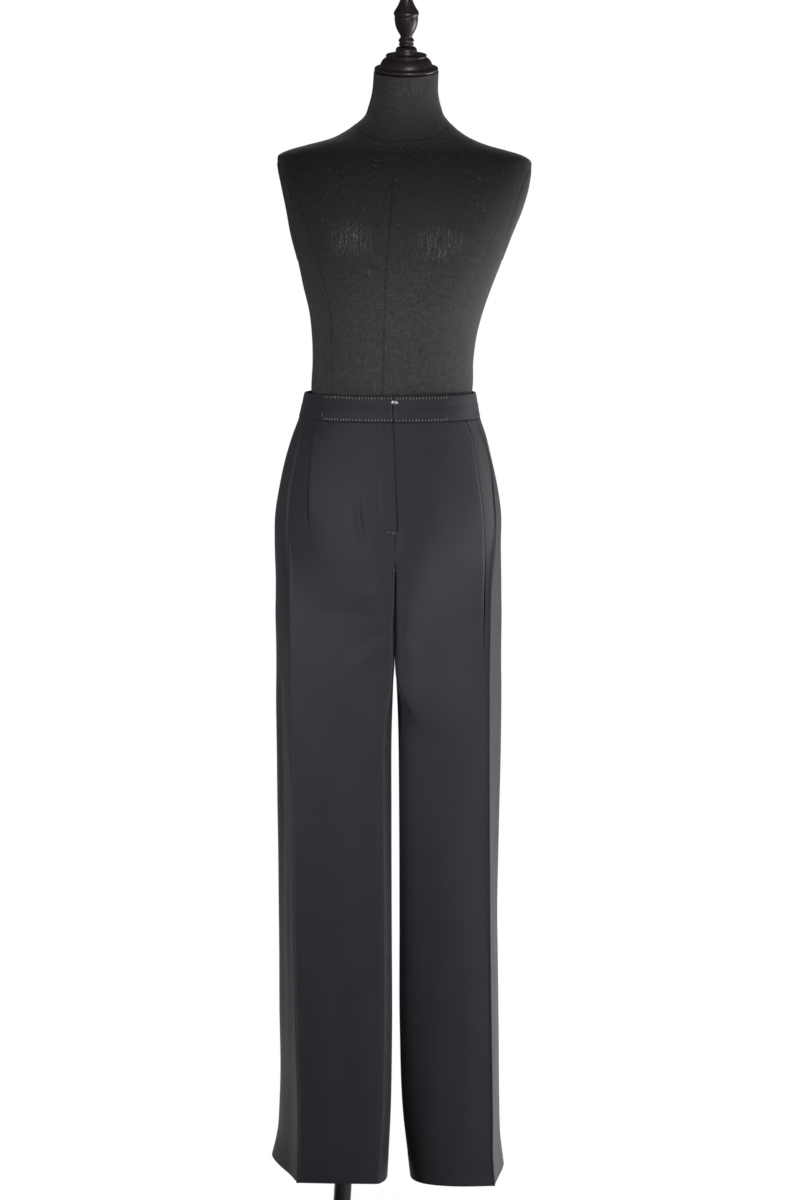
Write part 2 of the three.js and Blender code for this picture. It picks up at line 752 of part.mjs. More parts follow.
/** The y of the front's outer face at a distance from the centre plane (positive to the left). */
function frontFace(height, across) {
  const leg = across < 0 ? legs.right : legs.left;
  const { frontCurve } = legSection(leg, height);
  const out = Math.max(Math.abs(across), seamGap / 2);
  let low = 0;
  let high = 1;
  for (let round = 0; round < 30; round += 1) {
    const middle = (low + high) / 2;
    if (frontCurve.getPoint(middle).x > out) low = middle;
    else high = middle;
  }
  return frontCurve.getPoint(low).y;
}

function flyPlacket() {
  const top = waistSeamHeight - seamGap;
  const outer = [];
  const inner = [];
  for (const share of steps(0, 1, flySpaces.down)) {
    const eased = 1 - (1 - share) ** flyRowEasing;
    const height = mix(top, flyBottomHeight, eased);
    const fromBottom = height - flyBottomHeight;
    const curve = Math.min(1, fromBottom / flyCurveHeight);
    const width = flyWidth * Math.sqrt(1 - (1 - curve) ** 2);
    const edge = mix(flyEdgeTop, flyEdgeBottom, eased);
    const outerRow = [];
    const innerRow = [];
    for (const across of steps(-flyPastCentre - width, edge, flySpaces.across)) {
      const y = frontFace(height, across);
      outerRow.push(new THREE.Vector3(garmentCentreX + across, y - seamGap - flyThickness, height));
      innerRow.push(new THREE.Vector3(garmentCentreX + across, y - seamGap, height));
    }
    outer.push(outerRow);
    inner.push(innerRow);
  }
  return wallGeometry(outer, inner);
}

// ---------------------------------------------------------------------------------------------
// Waist hook and its bar, at the top of the opening
// ---------------------------------------------------------------------------------------------

/** A small plate with a rounded free end, standing in the plane of the waistband's front. */
function platePiece(width, height, thickness, endRadius) {
  const shape = new THREE.Shape();
  shape.moveTo(0, 0);
  shape.lineTo(width - endRadius, 0);
  shape.absarc(width - endRadius, endRadius, endRadius, -Math.PI / 2, 0, false);
  shape.lineTo(width, height - endRadius);
  shape.absarc(width - endRadius, height - endRadius, endRadius, 0, Math.PI / 2, false);
  shape.lineTo(0, height);
  shape.closePath();
  const options = { depth: thickness, bevelEnabled: false, curveSegments: 6 };
  const geometry = new THREE.ExtrudeGeometry(shape, options);
  geometry.rotateX(Math.PI / 2);
  return geometry;
}

// ---------------------------------------------------------------------------------------------
// Dress form, its turned cap, pole and base
// ---------------------------------------------------------------------------------------------

const axisX = (height) => leanPerHeight * height;

function torsoForm() {
  const heights = torsoRows.map((row) => row[0]);
  const rings = heights.map((height) => {
    const row = readTable(torsoColumns, torsoRows, height);
    const tilt = Math.max(0, (height - neckTiltStart) / (neckTopHeight - neckTiltStart)) * Math.tan(neckTilt);
    return steps(0, 2 * Math.PI, sides.torso).slice(0, -1).map((angle) => {
      const cosine = Math.cos(angle);
      const sine = Math.sin(angle);
      const power = 2 / row.squareness;
      const x = Math.sign(cosine) * Math.abs(cosine) ** power * row.halfWidth;
      const depth = sine < 0 ? row.front : row.back;
      const y = Math.sign(sine) * Math.abs(sine) ** power * depth;
      return new THREE.Vector3(axisX(height) + row.shift + x, y, height + y * tilt);
    });
  });
  return ringSolid(rings);
}

/** A turned piece standing on the tilted top of the neck. */
function turned(profile, count) {
  return new THREE.LatheGeometry(profile.map(([radius, height]) => new THREE.Vector2(radius, height)), count)
    .rotateX(Math.PI / 2);
}

/** A round piece whose rings lie flat while their middles follow the leaning axis. */
function leaningRound(profile, count, closed) {
  const rings = profile.map(([radius, height]) =>
    steps(0, 2 * Math.PI, count).slice(0, -1).map((angle) =>
      new THREE.Vector3(axisX(height) + radius * Math.cos(angle), radius * Math.sin(angle), height)));
  if (!closed) return ringSolid(rings);
  const positions = rings.flat().flatMap((point) => [point.x, point.y, point.z]);
  const triangles = [];
  for (let ring = 0; ring < rings.length; ring += 1) {
    const above = (ring + 1) % rings.length;
    for (let index = 0; index < count; index += 1) {
      const next = (index + 1) % count;
      triangles.push(ring * count + index, ring * count + next, above * count + next);
      triangles.push(ring * count + index, above * count + next, above * count + index);
    }
  }
  return indexedGeometry(positions, triangles);
}

// ---------------------------------------------------------------------------------------------
// The model
// ---------------------------------------------------------------------------------------------

const model = new THREE.Group();

const trousers = new THREE.Group();
trousers.add(piece('front_leg_right', frontPanel('right'), finishes.cloth));
trousers.add(piece('front_leg_left', frontPanel('left'), finishes.cloth));
trousers.add(piece('back_leg_right', backPanel('right'), finishes.cloth));
trousers.add(piece('back_leg_left', backPanel('left'), finishes.cloth));
trousers.add(piece('fly_placket', flyPlacket(), finishes.cloth));
trousers.add(piece(
  'waistband_front_right',
  bandPiece(
    () => openingLength + seamGap / 2,
    (data) => rightSeamLength(data) - seamGap / 2,
    bandSpaces.frontRight,
  ),
  finishes.cloth,
));
trousers.add(piece(
  'waistband_front_left',
  bandPiece(
    (data) => -leftSeamLength(data) + seamGap / 2,
    () => openingLength - seamGap / 2,
    bandSpaces.frontLeft,
  ),
  finishes.cloth,
));
trousers.add(piece(
  'waistband_back',
  bandPiece(
    (data) => rightSeamLength(data) + seamGap / 2,
    (data) => data.total - leftSeamLength(data) - seamGap / 2,
    bandSpaces.back,
  ),
  finishes.cloth,
));
model.add(trousers);

const hookBottom = waistTopHeight - hookTopBelowBand - hookHeight;
const bandFaceY = readTable(legColumns, rightLegRows, hookBottom).frontY - bandStandsProud - bandSwell;

const waistBar = piece('waist_bar', platePiece(barWidth, barHeight, barThickness, barEndRadius), finishes.hook);
waistBar.position.set(
  garmentCentreX + openingX + barInset,
  bandFaceY - seamGap,
  hookBottom + barAboveHookBottom,
);
trousers.add(waistBar);

const waistHook = piece(
  'waist_hook',
  platePiece(hookWidth, hookHeight, hookThickness, hookEndRadius),
  finishes.hook,
);
waistHook.position.set(
  garmentCentreX + openingX,
  bandFaceY - 2 * seamGap - barThickness,
  hookBottom,
);
trousers.add(waistHook);

const stand = new THREE.Group();
stand.add(piece('torso_form', torsoForm(), finishes.torso));

const poleProfile = [
  [poleRadius, baseThickness + seamGap],
  [poleRadius, torsoRows[0][0] - seamGap],
];
stand.add(piece('pole', leaningRound(poleProfile, sides.pole, false), finishes.metal));

const hubInner = poleRadius + seamGap;
const hubBottom = baseThickness + seamGap;
const hubTop = baseThickness + hubHeight;
const hubProfile = [
  [hubInner, hubBottom],
  [hubRadius, hubBottom],
  [hubRadius, baseThickness + hubShoulderHeight],
  [hubNeckRadius, baseThickness + hubNeckHeight],
  [hubTopRadius, hubTop],
  [hubInner, hubTop],
];
stand.add(piece('base_hub', leaningRound(hubProfile, sides.pole, true), finishes.metal));

const roundingAt45 = baseEdgeRadius * (1 - Math.SQRT1_2);
const basePlateProfile = [
  [0, 0],
  [baseRadius - baseFootBevel, 0],
  [baseRadius, baseFootBevel],
  [baseRadius, baseThickness - baseEdgeRadius],
  [baseRadius - roundingAt45, baseThickness - roundingAt45],
  [baseRadius - baseEdgeRadius, baseThickness],
  [0, baseThickness],
];
stand.add(piece('base_plate', turned(basePlateProfile, sides.plate), finishes.metal));

const neckCapHeight = neckCapProfile[neckCapProfile.length - 1][1];
const neckShift = torsoRows[torsoRows.length - 1][1];
const cap = new THREE.Group();
cap.position.set(axisX(neckTopHeight) + neckShift, 0, neckTopHeight);
cap.rotation.x = neckTilt;
const neckCap = piece('neck_cap', turned(neckCapProfile, sides.neckCap), finishes.wood);
neckCap.position.z = capGap;
cap.add(neckCap);
const finial = piece('finial', turned(finialProfile, sides.finial), finishes.wood);
finial.position.z = capGap + neckCapHeight + seamGap;
cap.add(finial);
stand.add(cap);
model.add(stand);

export default model;
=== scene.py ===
"""Pleated palazzo trousers on a limbless dress form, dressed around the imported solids."""

import math

import bpy
import numpy as np
from bpy.props import FloatProperty, FloatVectorProperty, PointerProperty
from bpy.types import Operator, Panel, PropertyGroup
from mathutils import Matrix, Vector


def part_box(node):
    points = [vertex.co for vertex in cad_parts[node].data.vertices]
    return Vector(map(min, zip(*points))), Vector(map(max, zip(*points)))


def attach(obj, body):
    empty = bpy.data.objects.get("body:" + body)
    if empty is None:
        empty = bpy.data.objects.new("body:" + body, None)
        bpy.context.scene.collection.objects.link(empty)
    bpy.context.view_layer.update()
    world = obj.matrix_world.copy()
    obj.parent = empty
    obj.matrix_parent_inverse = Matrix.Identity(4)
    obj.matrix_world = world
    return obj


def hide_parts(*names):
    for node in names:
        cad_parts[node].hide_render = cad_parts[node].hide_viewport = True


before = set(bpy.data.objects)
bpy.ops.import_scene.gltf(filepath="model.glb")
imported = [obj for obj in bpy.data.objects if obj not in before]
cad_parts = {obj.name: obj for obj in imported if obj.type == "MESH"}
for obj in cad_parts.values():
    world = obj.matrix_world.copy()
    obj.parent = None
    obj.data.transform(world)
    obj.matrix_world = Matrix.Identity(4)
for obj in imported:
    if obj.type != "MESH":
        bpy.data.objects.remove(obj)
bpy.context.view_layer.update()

bl_info = {
    "name": "Palazzo trousers on a dress form",
    "version": (1, 0, 0),
    "blender": (4, 5, 0),
    "location": "3D View > Sidebar > Trousers",
    "description": "Builds pleated palazzo trousers, the dress form they hang on and its stand",
    "category": "Add Mesh",
}

BODY = "root"
MM = 0.001

# Sizes of the trousers, in millimetres. "out" is measured from the centre plane to the side,
# y is negative towards the front. Every table is read at any height by a smooth curve.

CENTRE_X = 81.2
CROTCH_Z, CROTCH_Y = 953.0, -15.0
FRONT_RISE, BACK_RISE = 95.0, 110.0
LEGS_PART = (868.0, 900.0)
WAIST_SEAM_Z, WAIST_TOP_Z = 1224.5, 1258.5
HALF_SEAM = 0.05
CENTRE_GAP = 0.006

# height, side seam out and y, crease out and y, front y, inside leg out and y
RIGHT_LEG_ROWS = (
    (150, 173.5, 74, 138, -61, -68, 10.5, -28),
    (183, 165.5, 72, 136.5, -64, -68.5, 8.8, -36),
    (243, 160.5, 70, 135.5, -67, -70, 5.9, -45),
    (371, 160, 69, 137.9, -70, -72, 3.6, -53),
    (523, 159.6, 68, 140.2, -71, -74, 4, -55),
    (678, 161, 66, 140.5, -71, -78, 4.4, -50),
    (810, 162.5, 58, 142.6, -69, -87, 4.2, -40),
    (900, 163.5, 38, 142.7, -66, -97, 0.8, -28),
    (953, 165.5, 20, 142.8, -63, -104, 0.6, -15),
    (1000, 165.3, 11, 142.9, -59, -108, 0.6, -60),
    (1050, 166.5, 7, 143.6, -54, -111, 0.6, -111),
    (1089, 165.6, 6, 145.5, -50, -110.5, 0.6, -110),
    (1127, 159.6, 5, 143.3, -47, -109, 0.6, -109),
    (1170, 150, 3, 135.5, -42, -105, 0.6, -105),
    (1200, 140.6, 1, 130, -38, -101, 0.6, -101),
    (1224.5, 131.4, 0, 124.5, -33, -98, 0.6, -98),
    (1258.5, 123, 0, 116, -31, -92, 0.6, -92),
)
LEFT_LEG_ROWS = (
    (146, 152, 50, 140.5, -62, -81, 22, -20),
    (183, 146.5, 54, 137.5, -70, -81, 18, -26),
    (243, 143.5, 61, 136.8, -74, -82, 11.5, -33),
    (371, 141.8, 62, 134.6, -75, -83, 6.6, -39),
    (523, 139.5, 62, 132, -75, -84, 6.2, -42),
    (678, 142.5, 60, 130.5, -73, -86, 5.7, -41),
    (810, 144.8, 54, 129.9, -69, -91, 4.2, -36),
    (900, 146.3, 36, 129.9, -64, -98, 0.8, -28),
    (953, 148, 20, 130.8, -58, -104, 0.6, -15),
    (1000, 147.8, 11, 131.8, -52, -108, 0.6, -60),
    (1050, 146.9, 7, 135, -45, -111, 0.6, -111),
    (1089, 147.2, 6, 136.2, -41, -110.5, 0.6, -110),
    (1127, 142, 5, 133.8, -37, -109, 0.6, -109),
    (1170, 132.5, 3, 127.8, -31, -105, 0.6, -105),
    (1200, 125.2, 1, 119.5, -31, -101, 0.6, -101),
    (1224.5, 117, 0, 109, -36, -98, 0.6, -98),
    (1258.5, 110.2, 0, 103, -34, -92, 0.6, -92),
)
# height, share of the crease's distance out where the front bulges, squareness of the front's
# corner, sharpness of the crease, turn of the side seam in degrees
FRONT_ROWS = (
    (150, 0, 3.4, 1, 42),
    (523, 0, 4.4, 1, 40),
    (810, 0, 5.5, 1, 36),
    (900, 0, 7.5, 1, 22),
    (953, 0.02, 9, 0.9, 10),
    (972, 0.1, 5, 0.8, 5),
    (1000, 0.25, 3, 0.6, 2),
    (1050, 0.52, 2.2, 0.25, 0),
    (1127, 0.68, 2, 0, 0),
    (1224.5, 0.75, 2, 0, 0),
    (1258.5, 0.72, 2, 0, 0),
)
# height, back crease as a share of the side seam's distance out, its y, corner out and y,
# seat y, squareness of the corner
BACK_ROWS = (
    (146, 0.44, 103, 14, 85, -15, 2.6),
    (523, 0.44, 104, 12, 87, -15, 2.6),
    (810, 0.46, 107, 9, 96, -15, 2.6),
    (900, 0.5, 108, 8, 106, -15, 2.5),
    (953, 0.54, 107, 12, 118, -15, 2.6),
    (1000, 0.6, 102, 36, 124, 121, 2.3),
    (1038, 0.66, 96, 54, 123, 123, 2.1),
    (1089, 0.7, 86, 60, 119, 119, 2),
    (1170, 0.72, 74, 56, 106, 106, 2),
    (1224.5, 0.72, 65, 50, 95, 95, 2),
    (1258.5, 0.72, 62, 48, 90, 90, 2),
)
# For each leg: "side" is -1 to the body's right, "hem" the hem's height, "corner" how square
# the front's inner corner is, "crisp" the share of its tight corner kept where the legs are
# apart, "slot" the width of the slot under the inner pleat's edge, and "sunk" how far the front
# turns in beside the centre seam.
# "pleat" rows: height, the inner pleat's distance from the crease, its stand.
# "valley" rows: height, distance, half width and depth of the valley beside the crease.
RIGHT = {
    "name": "right", "side": -1, "rows": RIGHT_LEG_ROWS, "hem": 150.0,
    "corner": 1.0, "crisp": 0.6, "slot": 2.6, "sunk": 0.0,
    "pleat": (
        (1052, 39.5, 0), (1075, 39.5, 0.2), (1092, 39.5, 0.7), (1102, 39.5, 2.0),
        (1117, 39.4, 3.1), (1151, 36.4, 3.6), (1184, 33.6, 3.4), (1208, 31.9, 2.8),
        (1218, 31, 2.0), (1224.5, 30.5, 1.1),
    ),
    "valley": (
        (183, -7, 4, 0.4), (900, -7, 4, 0.6), (977, -6.5, 3.6, 0.9), (1052, -5, 3, 1.6),
        (1087, -1.8, 2.6, 2.3), (1148, -1, 2.3, 2.8), (1190, 0.2, 2.1, 2.4), (1216, 0.4, 1.9, 1.5),
        (1224.5, 0.4, 1.8, 0.7),
    ),
}
LEFT = {
    "name": "left", "side": 1, "rows": LEFT_LEG_ROWS, "hem": 146.0,
    "corner": 0.1, "crisp": 0.0, "slot": 1.9, "sunk": 7.0,
    "pleat": (
        (905, 11, 0), (937, 11, 0.5), (960, 11, 1.3), (1000, 12.5, 2.1), (1019, 14, 2.4),
        (1054, 20.3, 2.6), (1088, 25.8, 2.5), (1116, 29.4, 2.4), (1150, 33.5, 2.3),
        (1177, 34.2, 2.2), (1208, 28.6, 1.9), (1218, 27.2, 1.4), (1224.5, 26.5, 0.8),
    ),
    "valley": (
        (183, -2.6, 1.4, 0), (850, -2.6, 1.4, 0.1), (950, -2.6, 1.3, 0.6), (1050, -2.6, 1.2, 1.1),
        (1093, -1.5, 1.2, 1.5), (1113, -0.5, 1.2, 1.8), (1174, -2.5, 1.2, 1.8),
        (1200, 0, 1.3, 1.3), (1224.5, -1, 1.4, 0.4),
    ),
}
PLEAT_SPREAD = 22.0

# Soft creases in the cloth, one a row: where it starts and ends as a distance from the
# panel's crease and a height, its half width and how far it stands out (below zero, in).
RIGHT_FRONT_FOLDS = (
    (111, 1134, 117, 1050, 4.5, -2.7), (120, 1128, 125, 1060, 5, 0.7),
    (142, 948, 70, 905, 7, -1.2), (140, 930, 60, 868, 9, 1.0), (142, 905, 82, 842, 8, -0.8),
    (144, 983, 84, 977, 4, -0.5), (140, 996, 92, 990, 5, 0.35), (136, 1018, 96, 1004, 5, -0.3),
    (60, 1010, 52, 640, 22, 0.9), (98, 880, 92, 420, 20, -0.9), (36, 620, 44, 200, 18, 0.8),
    (-60, 1000, -70, 560, 16, -1.4), (-44, 640, -56, 200, 18, 1.2), (-96, 900, -92, 330, 16, 1.1),
)
LEFT_FRONT_FOLDS = (
    (132, 946, 78, 902, 7, -1.1), (130, 926, 66, 872, 9, 0.9),
    (136, 983, 72, 986, 4, -0.6), (126, 996, 70, 1002, 5, 0.4), (60, 1004, 82, 1042, 4, -0.5),
    (52, 1000, 60, 600, 22, 0.9), (94, 860, 88, 380, 20, -0.8), (30, 560, 40, 210, 18, 0.8),
    (-56, 1000, -64, 520, 16, -1.2), (-40, 600, -52, 220, 18, 1.0),
)
RIGHT_BACK_FOLDS = (
    (96, 930, 40, 862, 9, 1.6), (104, 905, 50, 832, 9, -1.8), (108, 872, 64, 800, 9, 1.2),
    (-46, 900, -40, 480, 20, -1.6), (-60, 620, -54, 210, 18, 1.3), (52, 820, 56, 330, 20, -1.3),
    (30, 1010, -34, 985, 10, 1.1), (36, 985, -26, 958, 10, -1.2),
)
LEFT_BACK_FOLDS = (
    (92, 926, 34, 868, 9, 1.5), (102, 898, 46, 838, 9, -1.7), (106, 866, 58, 808, 9, 1.2),
    (-40, 880, -46, 430, 20, -1.5), (-58, 600, -50, 230, 18, 1.2), (50, 800, 60, 300, 20, -1.3),
    (26, 1004, -30, 990, 10, 1.0), (40, 978, -20, 962, 10, -1.1),
)

# The dress form: height, shift of the middle, half width, reach of front and back, squareness
TORSO_ROWS = (
    (1024, 5, 128, 88, 98, 2.1),
    (1034, 5, 138, 94, 106, 2.1),
    (1062, 5, 143, 97, 110, 2.1),
    (1100, 5, 141, 97, 110, 2.1),
    (1170, 5, 129, 92, 100, 2.1),
    (1218, 5, 113, 86, 88, 2),
    (1248, 5, 109.6, 85, 84, 2),
    (1266, 5.4, 110.8, 86, 84, 2),
    (1300, 4.7, 110.2, 89, 86, 2.1),
    (1338, 4.6, 113.2, 93, 88, 2.1),
    (1369, 5.2, 119, 98, 91, 2.1),
    (1400, 5.2, 128, 105, 94, 2.15),
    (1434, 6.3, 138.2, 111, 97, 2.2),
    (1472, 6.5, 150.4, 112, 98, 2.2),
    (1507, 8.4, 160.6, 104, 97, 2.25),
    (1541, 7.6, 168.6, 89, 92, 2.4),
    (1562, 5.4, 171.6, 77, 84, 2.5),
    (1573, 3.6, 171, 70, 78, 2.5),
    (1580, -2, 163.5, 66, 74, 2.4),
    (1586, -6.5, 147, 63, 71, 2.3),
    (1593, -7, 122, 60, 68, 2.2),
    (1601, -1.9, 96.7, 58, 65, 2.1),
    (1610, -0.4, 79.5, 55, 62, 2),
    (1620, 0.6, 66.2, 52, 58, 2),
    (1631, 1.6, 54.6, 49, 54, 2),
    (1644, 1, 49.4, 47, 51, 2),
    (1660, 0.6, 45.4, 45, 47, 2),
    (1691, 0.5, 43.8, 44, 44, 2),
)
LEAN = 0.0569
FORM_FOOT_Z = 1024.0
NECK_TOP_Z, NECK_TILT_FROM = 1691.0, 1640.0
NECK_TILT = math.radians(13)

NECK_CAP_PROFILE = (
    (0, 0), (42.0, 0), (43.2, 1.4), (43.2, 4.0), (42.0, 5.5), (36.0, 6.0), (35.2, 9.0),
    (33.6, 13.0), (30.4, 16.8), (26.4, 18.8), (27.6, 20.0), (27.8, 21.6), (26.4, 22.8),
    (16.0, 22.8), (14.6, 24.4), (14.4, 29.6), (13.2, 31.6), (10.0, 33.2), (0, 33.2),
)
FINIAL_PROFILE = (
    (0, 0), (8.6, 0), (10.0, 1.6), (10.2, 3.2), (8.8, 5.0), (10.4, 6.6), (10.6, 8.6),
    (8.4, 11.0), (7.4, 13.0), (10.2, 17.5), (13.4, 23.5), (15.4, 30.5), (16.0, 37.5),
    (15.6, 40.5), (16.8, 42.0), (17.1, 44.4), (16.2, 46.6), (15.2, 48.0), (12.4, 52.5),
    (9.6, 58.0), (7.8, 64.0), (8.6, 68.0), (9.4, 72.0), (8.2, 76.5), (5.0, 79.6), (0, 80.6),
)


# -------- Curves and grids


def read_rows(rows, heights):
    """Reads a table at heights: between two rows each column follows the cubic through their
    values, with slopes weighted by the spacing of the rows on either side."""
    table = np.asarray(rows, float)
    knots, values = table[:, 0], table[:, 1:]
    steps = np.diff(knots)[:, None]
    slopes = np.diff(values, axis=0) / steps
    inner = (steps[1:] * slopes[:-1] + steps[:-1] * slopes[1:]) / (steps[1:] + steps[:-1])
    tangents = np.vstack((slopes[:1], inner, slopes[-1:]))
    clamped = np.clip(heights, knots[0], knots[-1])
    below = np.clip(np.searchsorted(knots, clamped, side="right") - 1, 0, len(knots) - 2)
    span = steps[below]
    t = (clamped - knots[below])[:, None] / span
    return (
        (2 * t**3 - 3 * t**2 + 1) * values[below]
        + (t**3 - 2 * t**2 + t) * span * tangents[below]
        + (3 * t**2 - 2 * t**3) * values[below + 1]
        + (t**3 - t**2) * span * tangents[below + 1]
    )


def mix(a, b, share):
    """The way from a to b: a plus the share times their difference."""
    return a + (b - a) * share


def smooth_step(low, high, x):
    """0 below low and 1 above high, along 3t squared less 2t cubed between them."""
    t = np.clip((x - low) / (high - low), 0, 1)
    return t * t * (3 - 2 * t)


def bell(x, width):
    """1 at 0, falling away on both sides as exp(-(x / width) squared)."""
    return np.exp(-((x / width) ** 2))


def crowded(count, crowding=0.8):
    """Shares from 0 to 1 that crowd towards both ends: a mix of even steps and a half cosine."""
    t = np.linspace(0, 1, count)
    return mix(t, 0.5 - 0.5 * np.cos(np.pi * t), crowding)


def corner_curve(start, corner, end, squareness, t):
    """A quarter superellipse from start round a corner to end: the corner plus each arm
    times one less its share, the shares being radius times sine and radius times cosine."""
    sine, cosine = np.sin(t * np.pi / 2), np.cos(t * np.pi / 2)
    power = squareness[:, None]
    radius = (cosine**power + sine**power) ** (-1 / power)
    return (
        corner[:, None]
        + (start - corner)[:, None] * (1 - radius * sine)[..., None]
        + (end - corner)[:, None] * (1 - radius * cosine)[..., None]
    )


def bezier(a, b, c, d, t):
    """A cubic Bezier curve for every row: the four points weighted by Bernstein's cubics."""
    t = t[None, :, None]
    a, b, c, d = (p[:, None] for p in (a, b, c, d))
    return a * (1 - t) ** 3 + 3 * b * t * (1 - t) ** 2 + 3 * c * t * t * (1 - t) + d * t**3


def signed_power(values, power):
    """The values' sizes to a power, with their signs kept."""
    return np.sign(values) * np.abs(values) ** power


def unit(vectors):
    """Each vector over its own length."""
    return vectors / np.maximum(np.linalg.norm(vectors, axis=-1, keepdims=True), 1e-9)


def plan(*columns):
    """Columns side by side as points, two or three to a point."""
    return np.stack(columns, axis=-1)


# Number of points along a run, up to the front's corner and beyond it
RUN_POINTS, CORNER_INDEX, END_POINTS = 261, 200, 70
# Length of the flat front before its tight corner, and how square that corner is
CORNER_REACH, TIGHT = 10.0, 7.0
# Heights over which the fronts close up and are sunk less towards the fly
FRONTS_MEET = (780.0, 880.0)
# How the sunk part fades out to the side and behind
SUNK_ACROSS, SUNK_BEHIND = 9.0, 10.0
SUNK_FULL, SUNK_ENDS = (800.0, 890.0), (1005.0, 1047.0)
# Pull of the side and seat curves' ends, as shares of their widths
SIDE_PULL, SEAT_PULL = 0.33, 0.36


def leg_curves(leg, heights):
    """The outline of a leg at each height as four runs of plan points (out, y): from the side
    seam to the front crease, on to the inner end, from the side seam to the back crease and on
    to the inner end. Above the legs' parting the front stays flat up to a tight corner at the
    centre; below, one superellipse rounds it. Both are spaced alike and mixed by height. Last,
    the front is sunk beside the centre seam, by exp(-distance out / 9 - distance behind / 10)."""
    t = np.linspace(0, 1, RUN_POINTS)
    side_out, side_y, crease_out, crease_y, front_y, inner_out, inner_y = read_rows(
        leg["rows"], heights
    ).T
    bulge, square, sharpness, turn = read_rows(FRONT_ROWS, heights).T
    back_share, back_y, corner_out, corner_y, seat_y, back_square = read_rows(
        BACK_ROWS, heights
    ).T
    front_top = read_rows(leg["rows"], np.array([CROTCH_Z + FRONT_RISE]))[0, 4]
    seat_top = read_rows(BACK_ROWS, np.array([CROTCH_Z + BACK_RISE]))[0, 4]

    def inner_end(centre_y, rise, top_y):
        """Centre seam, then a quarter ellipse down to the crotch, then the inside leg."""
        sine = np.clip(1 - (heights - CROTCH_Z) / rise, 0, 1)
        curve = mix(CROTCH_Y, top_y, np.sqrt(1 - sine**2))
        y = np.where(heights >= CROTCH_Z + rise, centre_y, curve)
        return np.where(heights <= CROTCH_Z, inner_y, y)

    closing = smooth_step(*LEGS_PART, heights)
    edge_out = mix(inner_out, CENTRE_GAP, closing)
    front_end = plan(edge_out, inner_end(front_y, FRONT_RISE, front_top) - HALF_SEAM)
    back_end = plan(edge_out, inner_end(seat_y, BACK_RISE, seat_top) + HALF_SEAM)

    side, crease = plan(side_out, side_y), plan(crease_out, crease_y)
    corner = plan(mix(inner_out, crease_out, bulge), front_y)
    square = 2 + (square - 2) * leg["corner"]
    parted = corner_curve(crease, corner, front_end, square, t)
    flat_to = plan(edge_out + CORNER_REACH, front_y)
    shoulder = plan(mix(flat_to[:, 0], crease_out, np.maximum(bulge, 0.06)), front_y)
    over = corner_curve(crease, shoulder, flat_to, np.minimum(square, 4), t)
    tight = np.full(len(heights), TIGHT)
    under = corner_curve(flat_to, plan(edge_out, front_y), front_end, tight, t)
    closed = mix(leg["crisp"], 1, smooth_step(*FRONTS_MEET, heights))[:, None, None]
    half = len(t) // 2
    to_corner = np.concatenate((over, under[:, 1 : half + 1]), axis=1)
    ways = ((parted[:, : half + 1], to_corner, CORNER_INDEX + 1),
            (parted[:, half:], under[:, half:], END_POINTS))
    first, last = (mix(evenly(a, count), evenly(b, count), closed) for a, b, count in ways)
    front = np.concatenate((first, last[:, 1:]), axis=1)
    sunk = leg["sunk"] * mix(0.4, 1, smooth_step(*SUNK_FULL, heights))
    sunk = sunk * (1 - smooth_step(*SUNK_ENDS, heights))
    behind = np.maximum(front[..., 1] - front_y[:, None], 0)
    front[..., 1] += sunk[:, None] * np.exp(
        -front[..., 0] / SUNK_ACROSS - behind / SUNK_BEHIND
    )

    angle = np.radians(turn)
    forward = plan(np.sin(angle), -np.cos(angle))
    width = np.linalg.norm(side - crease, axis=1)[:, None]
    into_front, chord = unit(corner - crease), unit(crease - side)
    arrival = unit(mix(into_front, chord, sharpness[:, None]))
    start = side + forward * HALF_SEAM
    reach = width * (SIDE_PULL - 0.2 * np.sin(angle))[:, None]
    before = crease - arrival * SIDE_PULL * width
    side_run = bezier(start, start + forward * reach, before, crease, t)

    back_crease = plan(side_out * back_share, back_y)
    back_corner = plan(np.maximum(corner_out, inner_out + 1), corner_y)
    back_width = np.linalg.norm(side - back_crease, axis=1)[:, None]
    into_back = unit(back_corner - back_crease)
    start = side - forward * HALF_SEAM
    after = start - forward * SEAT_PULL * back_width
    before = back_crease - into_back * SEAT_PULL * back_width
    seat_run = bezier(start, after, before, back_crease, t)
    back = corner_curve(back_crease, back_corner, back_end, back_square, t)
    return side_run, front, seat_run, back


def lengths_of(path):
    """Length run from the start of each row's path to each of its points."""
    step = np.linalg.norm(np.diff(path, axis=1), axis=2)
    return np.concatenate((np.zeros((len(path), 1)), np.cumsum(step, axis=1)), axis=1)


def along(path, wanted):
    """Points of each row's path at the wanted lengths, all rows in one interpolation: each
    row's lengths are moved past the row before it, so they never mix."""
    run = lengths_of(path)
    wanted = np.clip(wanted, 0, run[:, -1:])
    shift = np.arange(len(path))[:, None] * (run.max() + 10)
    where, known = (wanted + shift).ravel(), (run + shift).ravel()
    parts = [np.interp(where, known, path[..., k].ravel()) for k in range(path.shape[2])]
    return np.stack(parts, axis=-1).reshape(*wanted.shape, path.shape[2])


def evenly(path, count):
    """The same runs, with their points evenly spaced."""
    return along(path, lengths_of(path)[:, -1:] * np.linspace(0, 1, count)[None])


def outward(path, wanted):
    """Unit directions square to each row's path, over a span of 2 mm: (-ty, tx)."""
    tangent = unit(along(path, wanted + 1) - along(path, wanted - 1))
    return plan(-tangent[..., 1], tangent[..., 0])


def to_space(side, points, heights):
    """Plan points (out, y) of one side of the body, as points in space."""
    height = np.broadcast_to(heights[:, None], points.shape[:2])
    return plan(CENTRE_X + side * points[..., 0], points[..., 1], height)


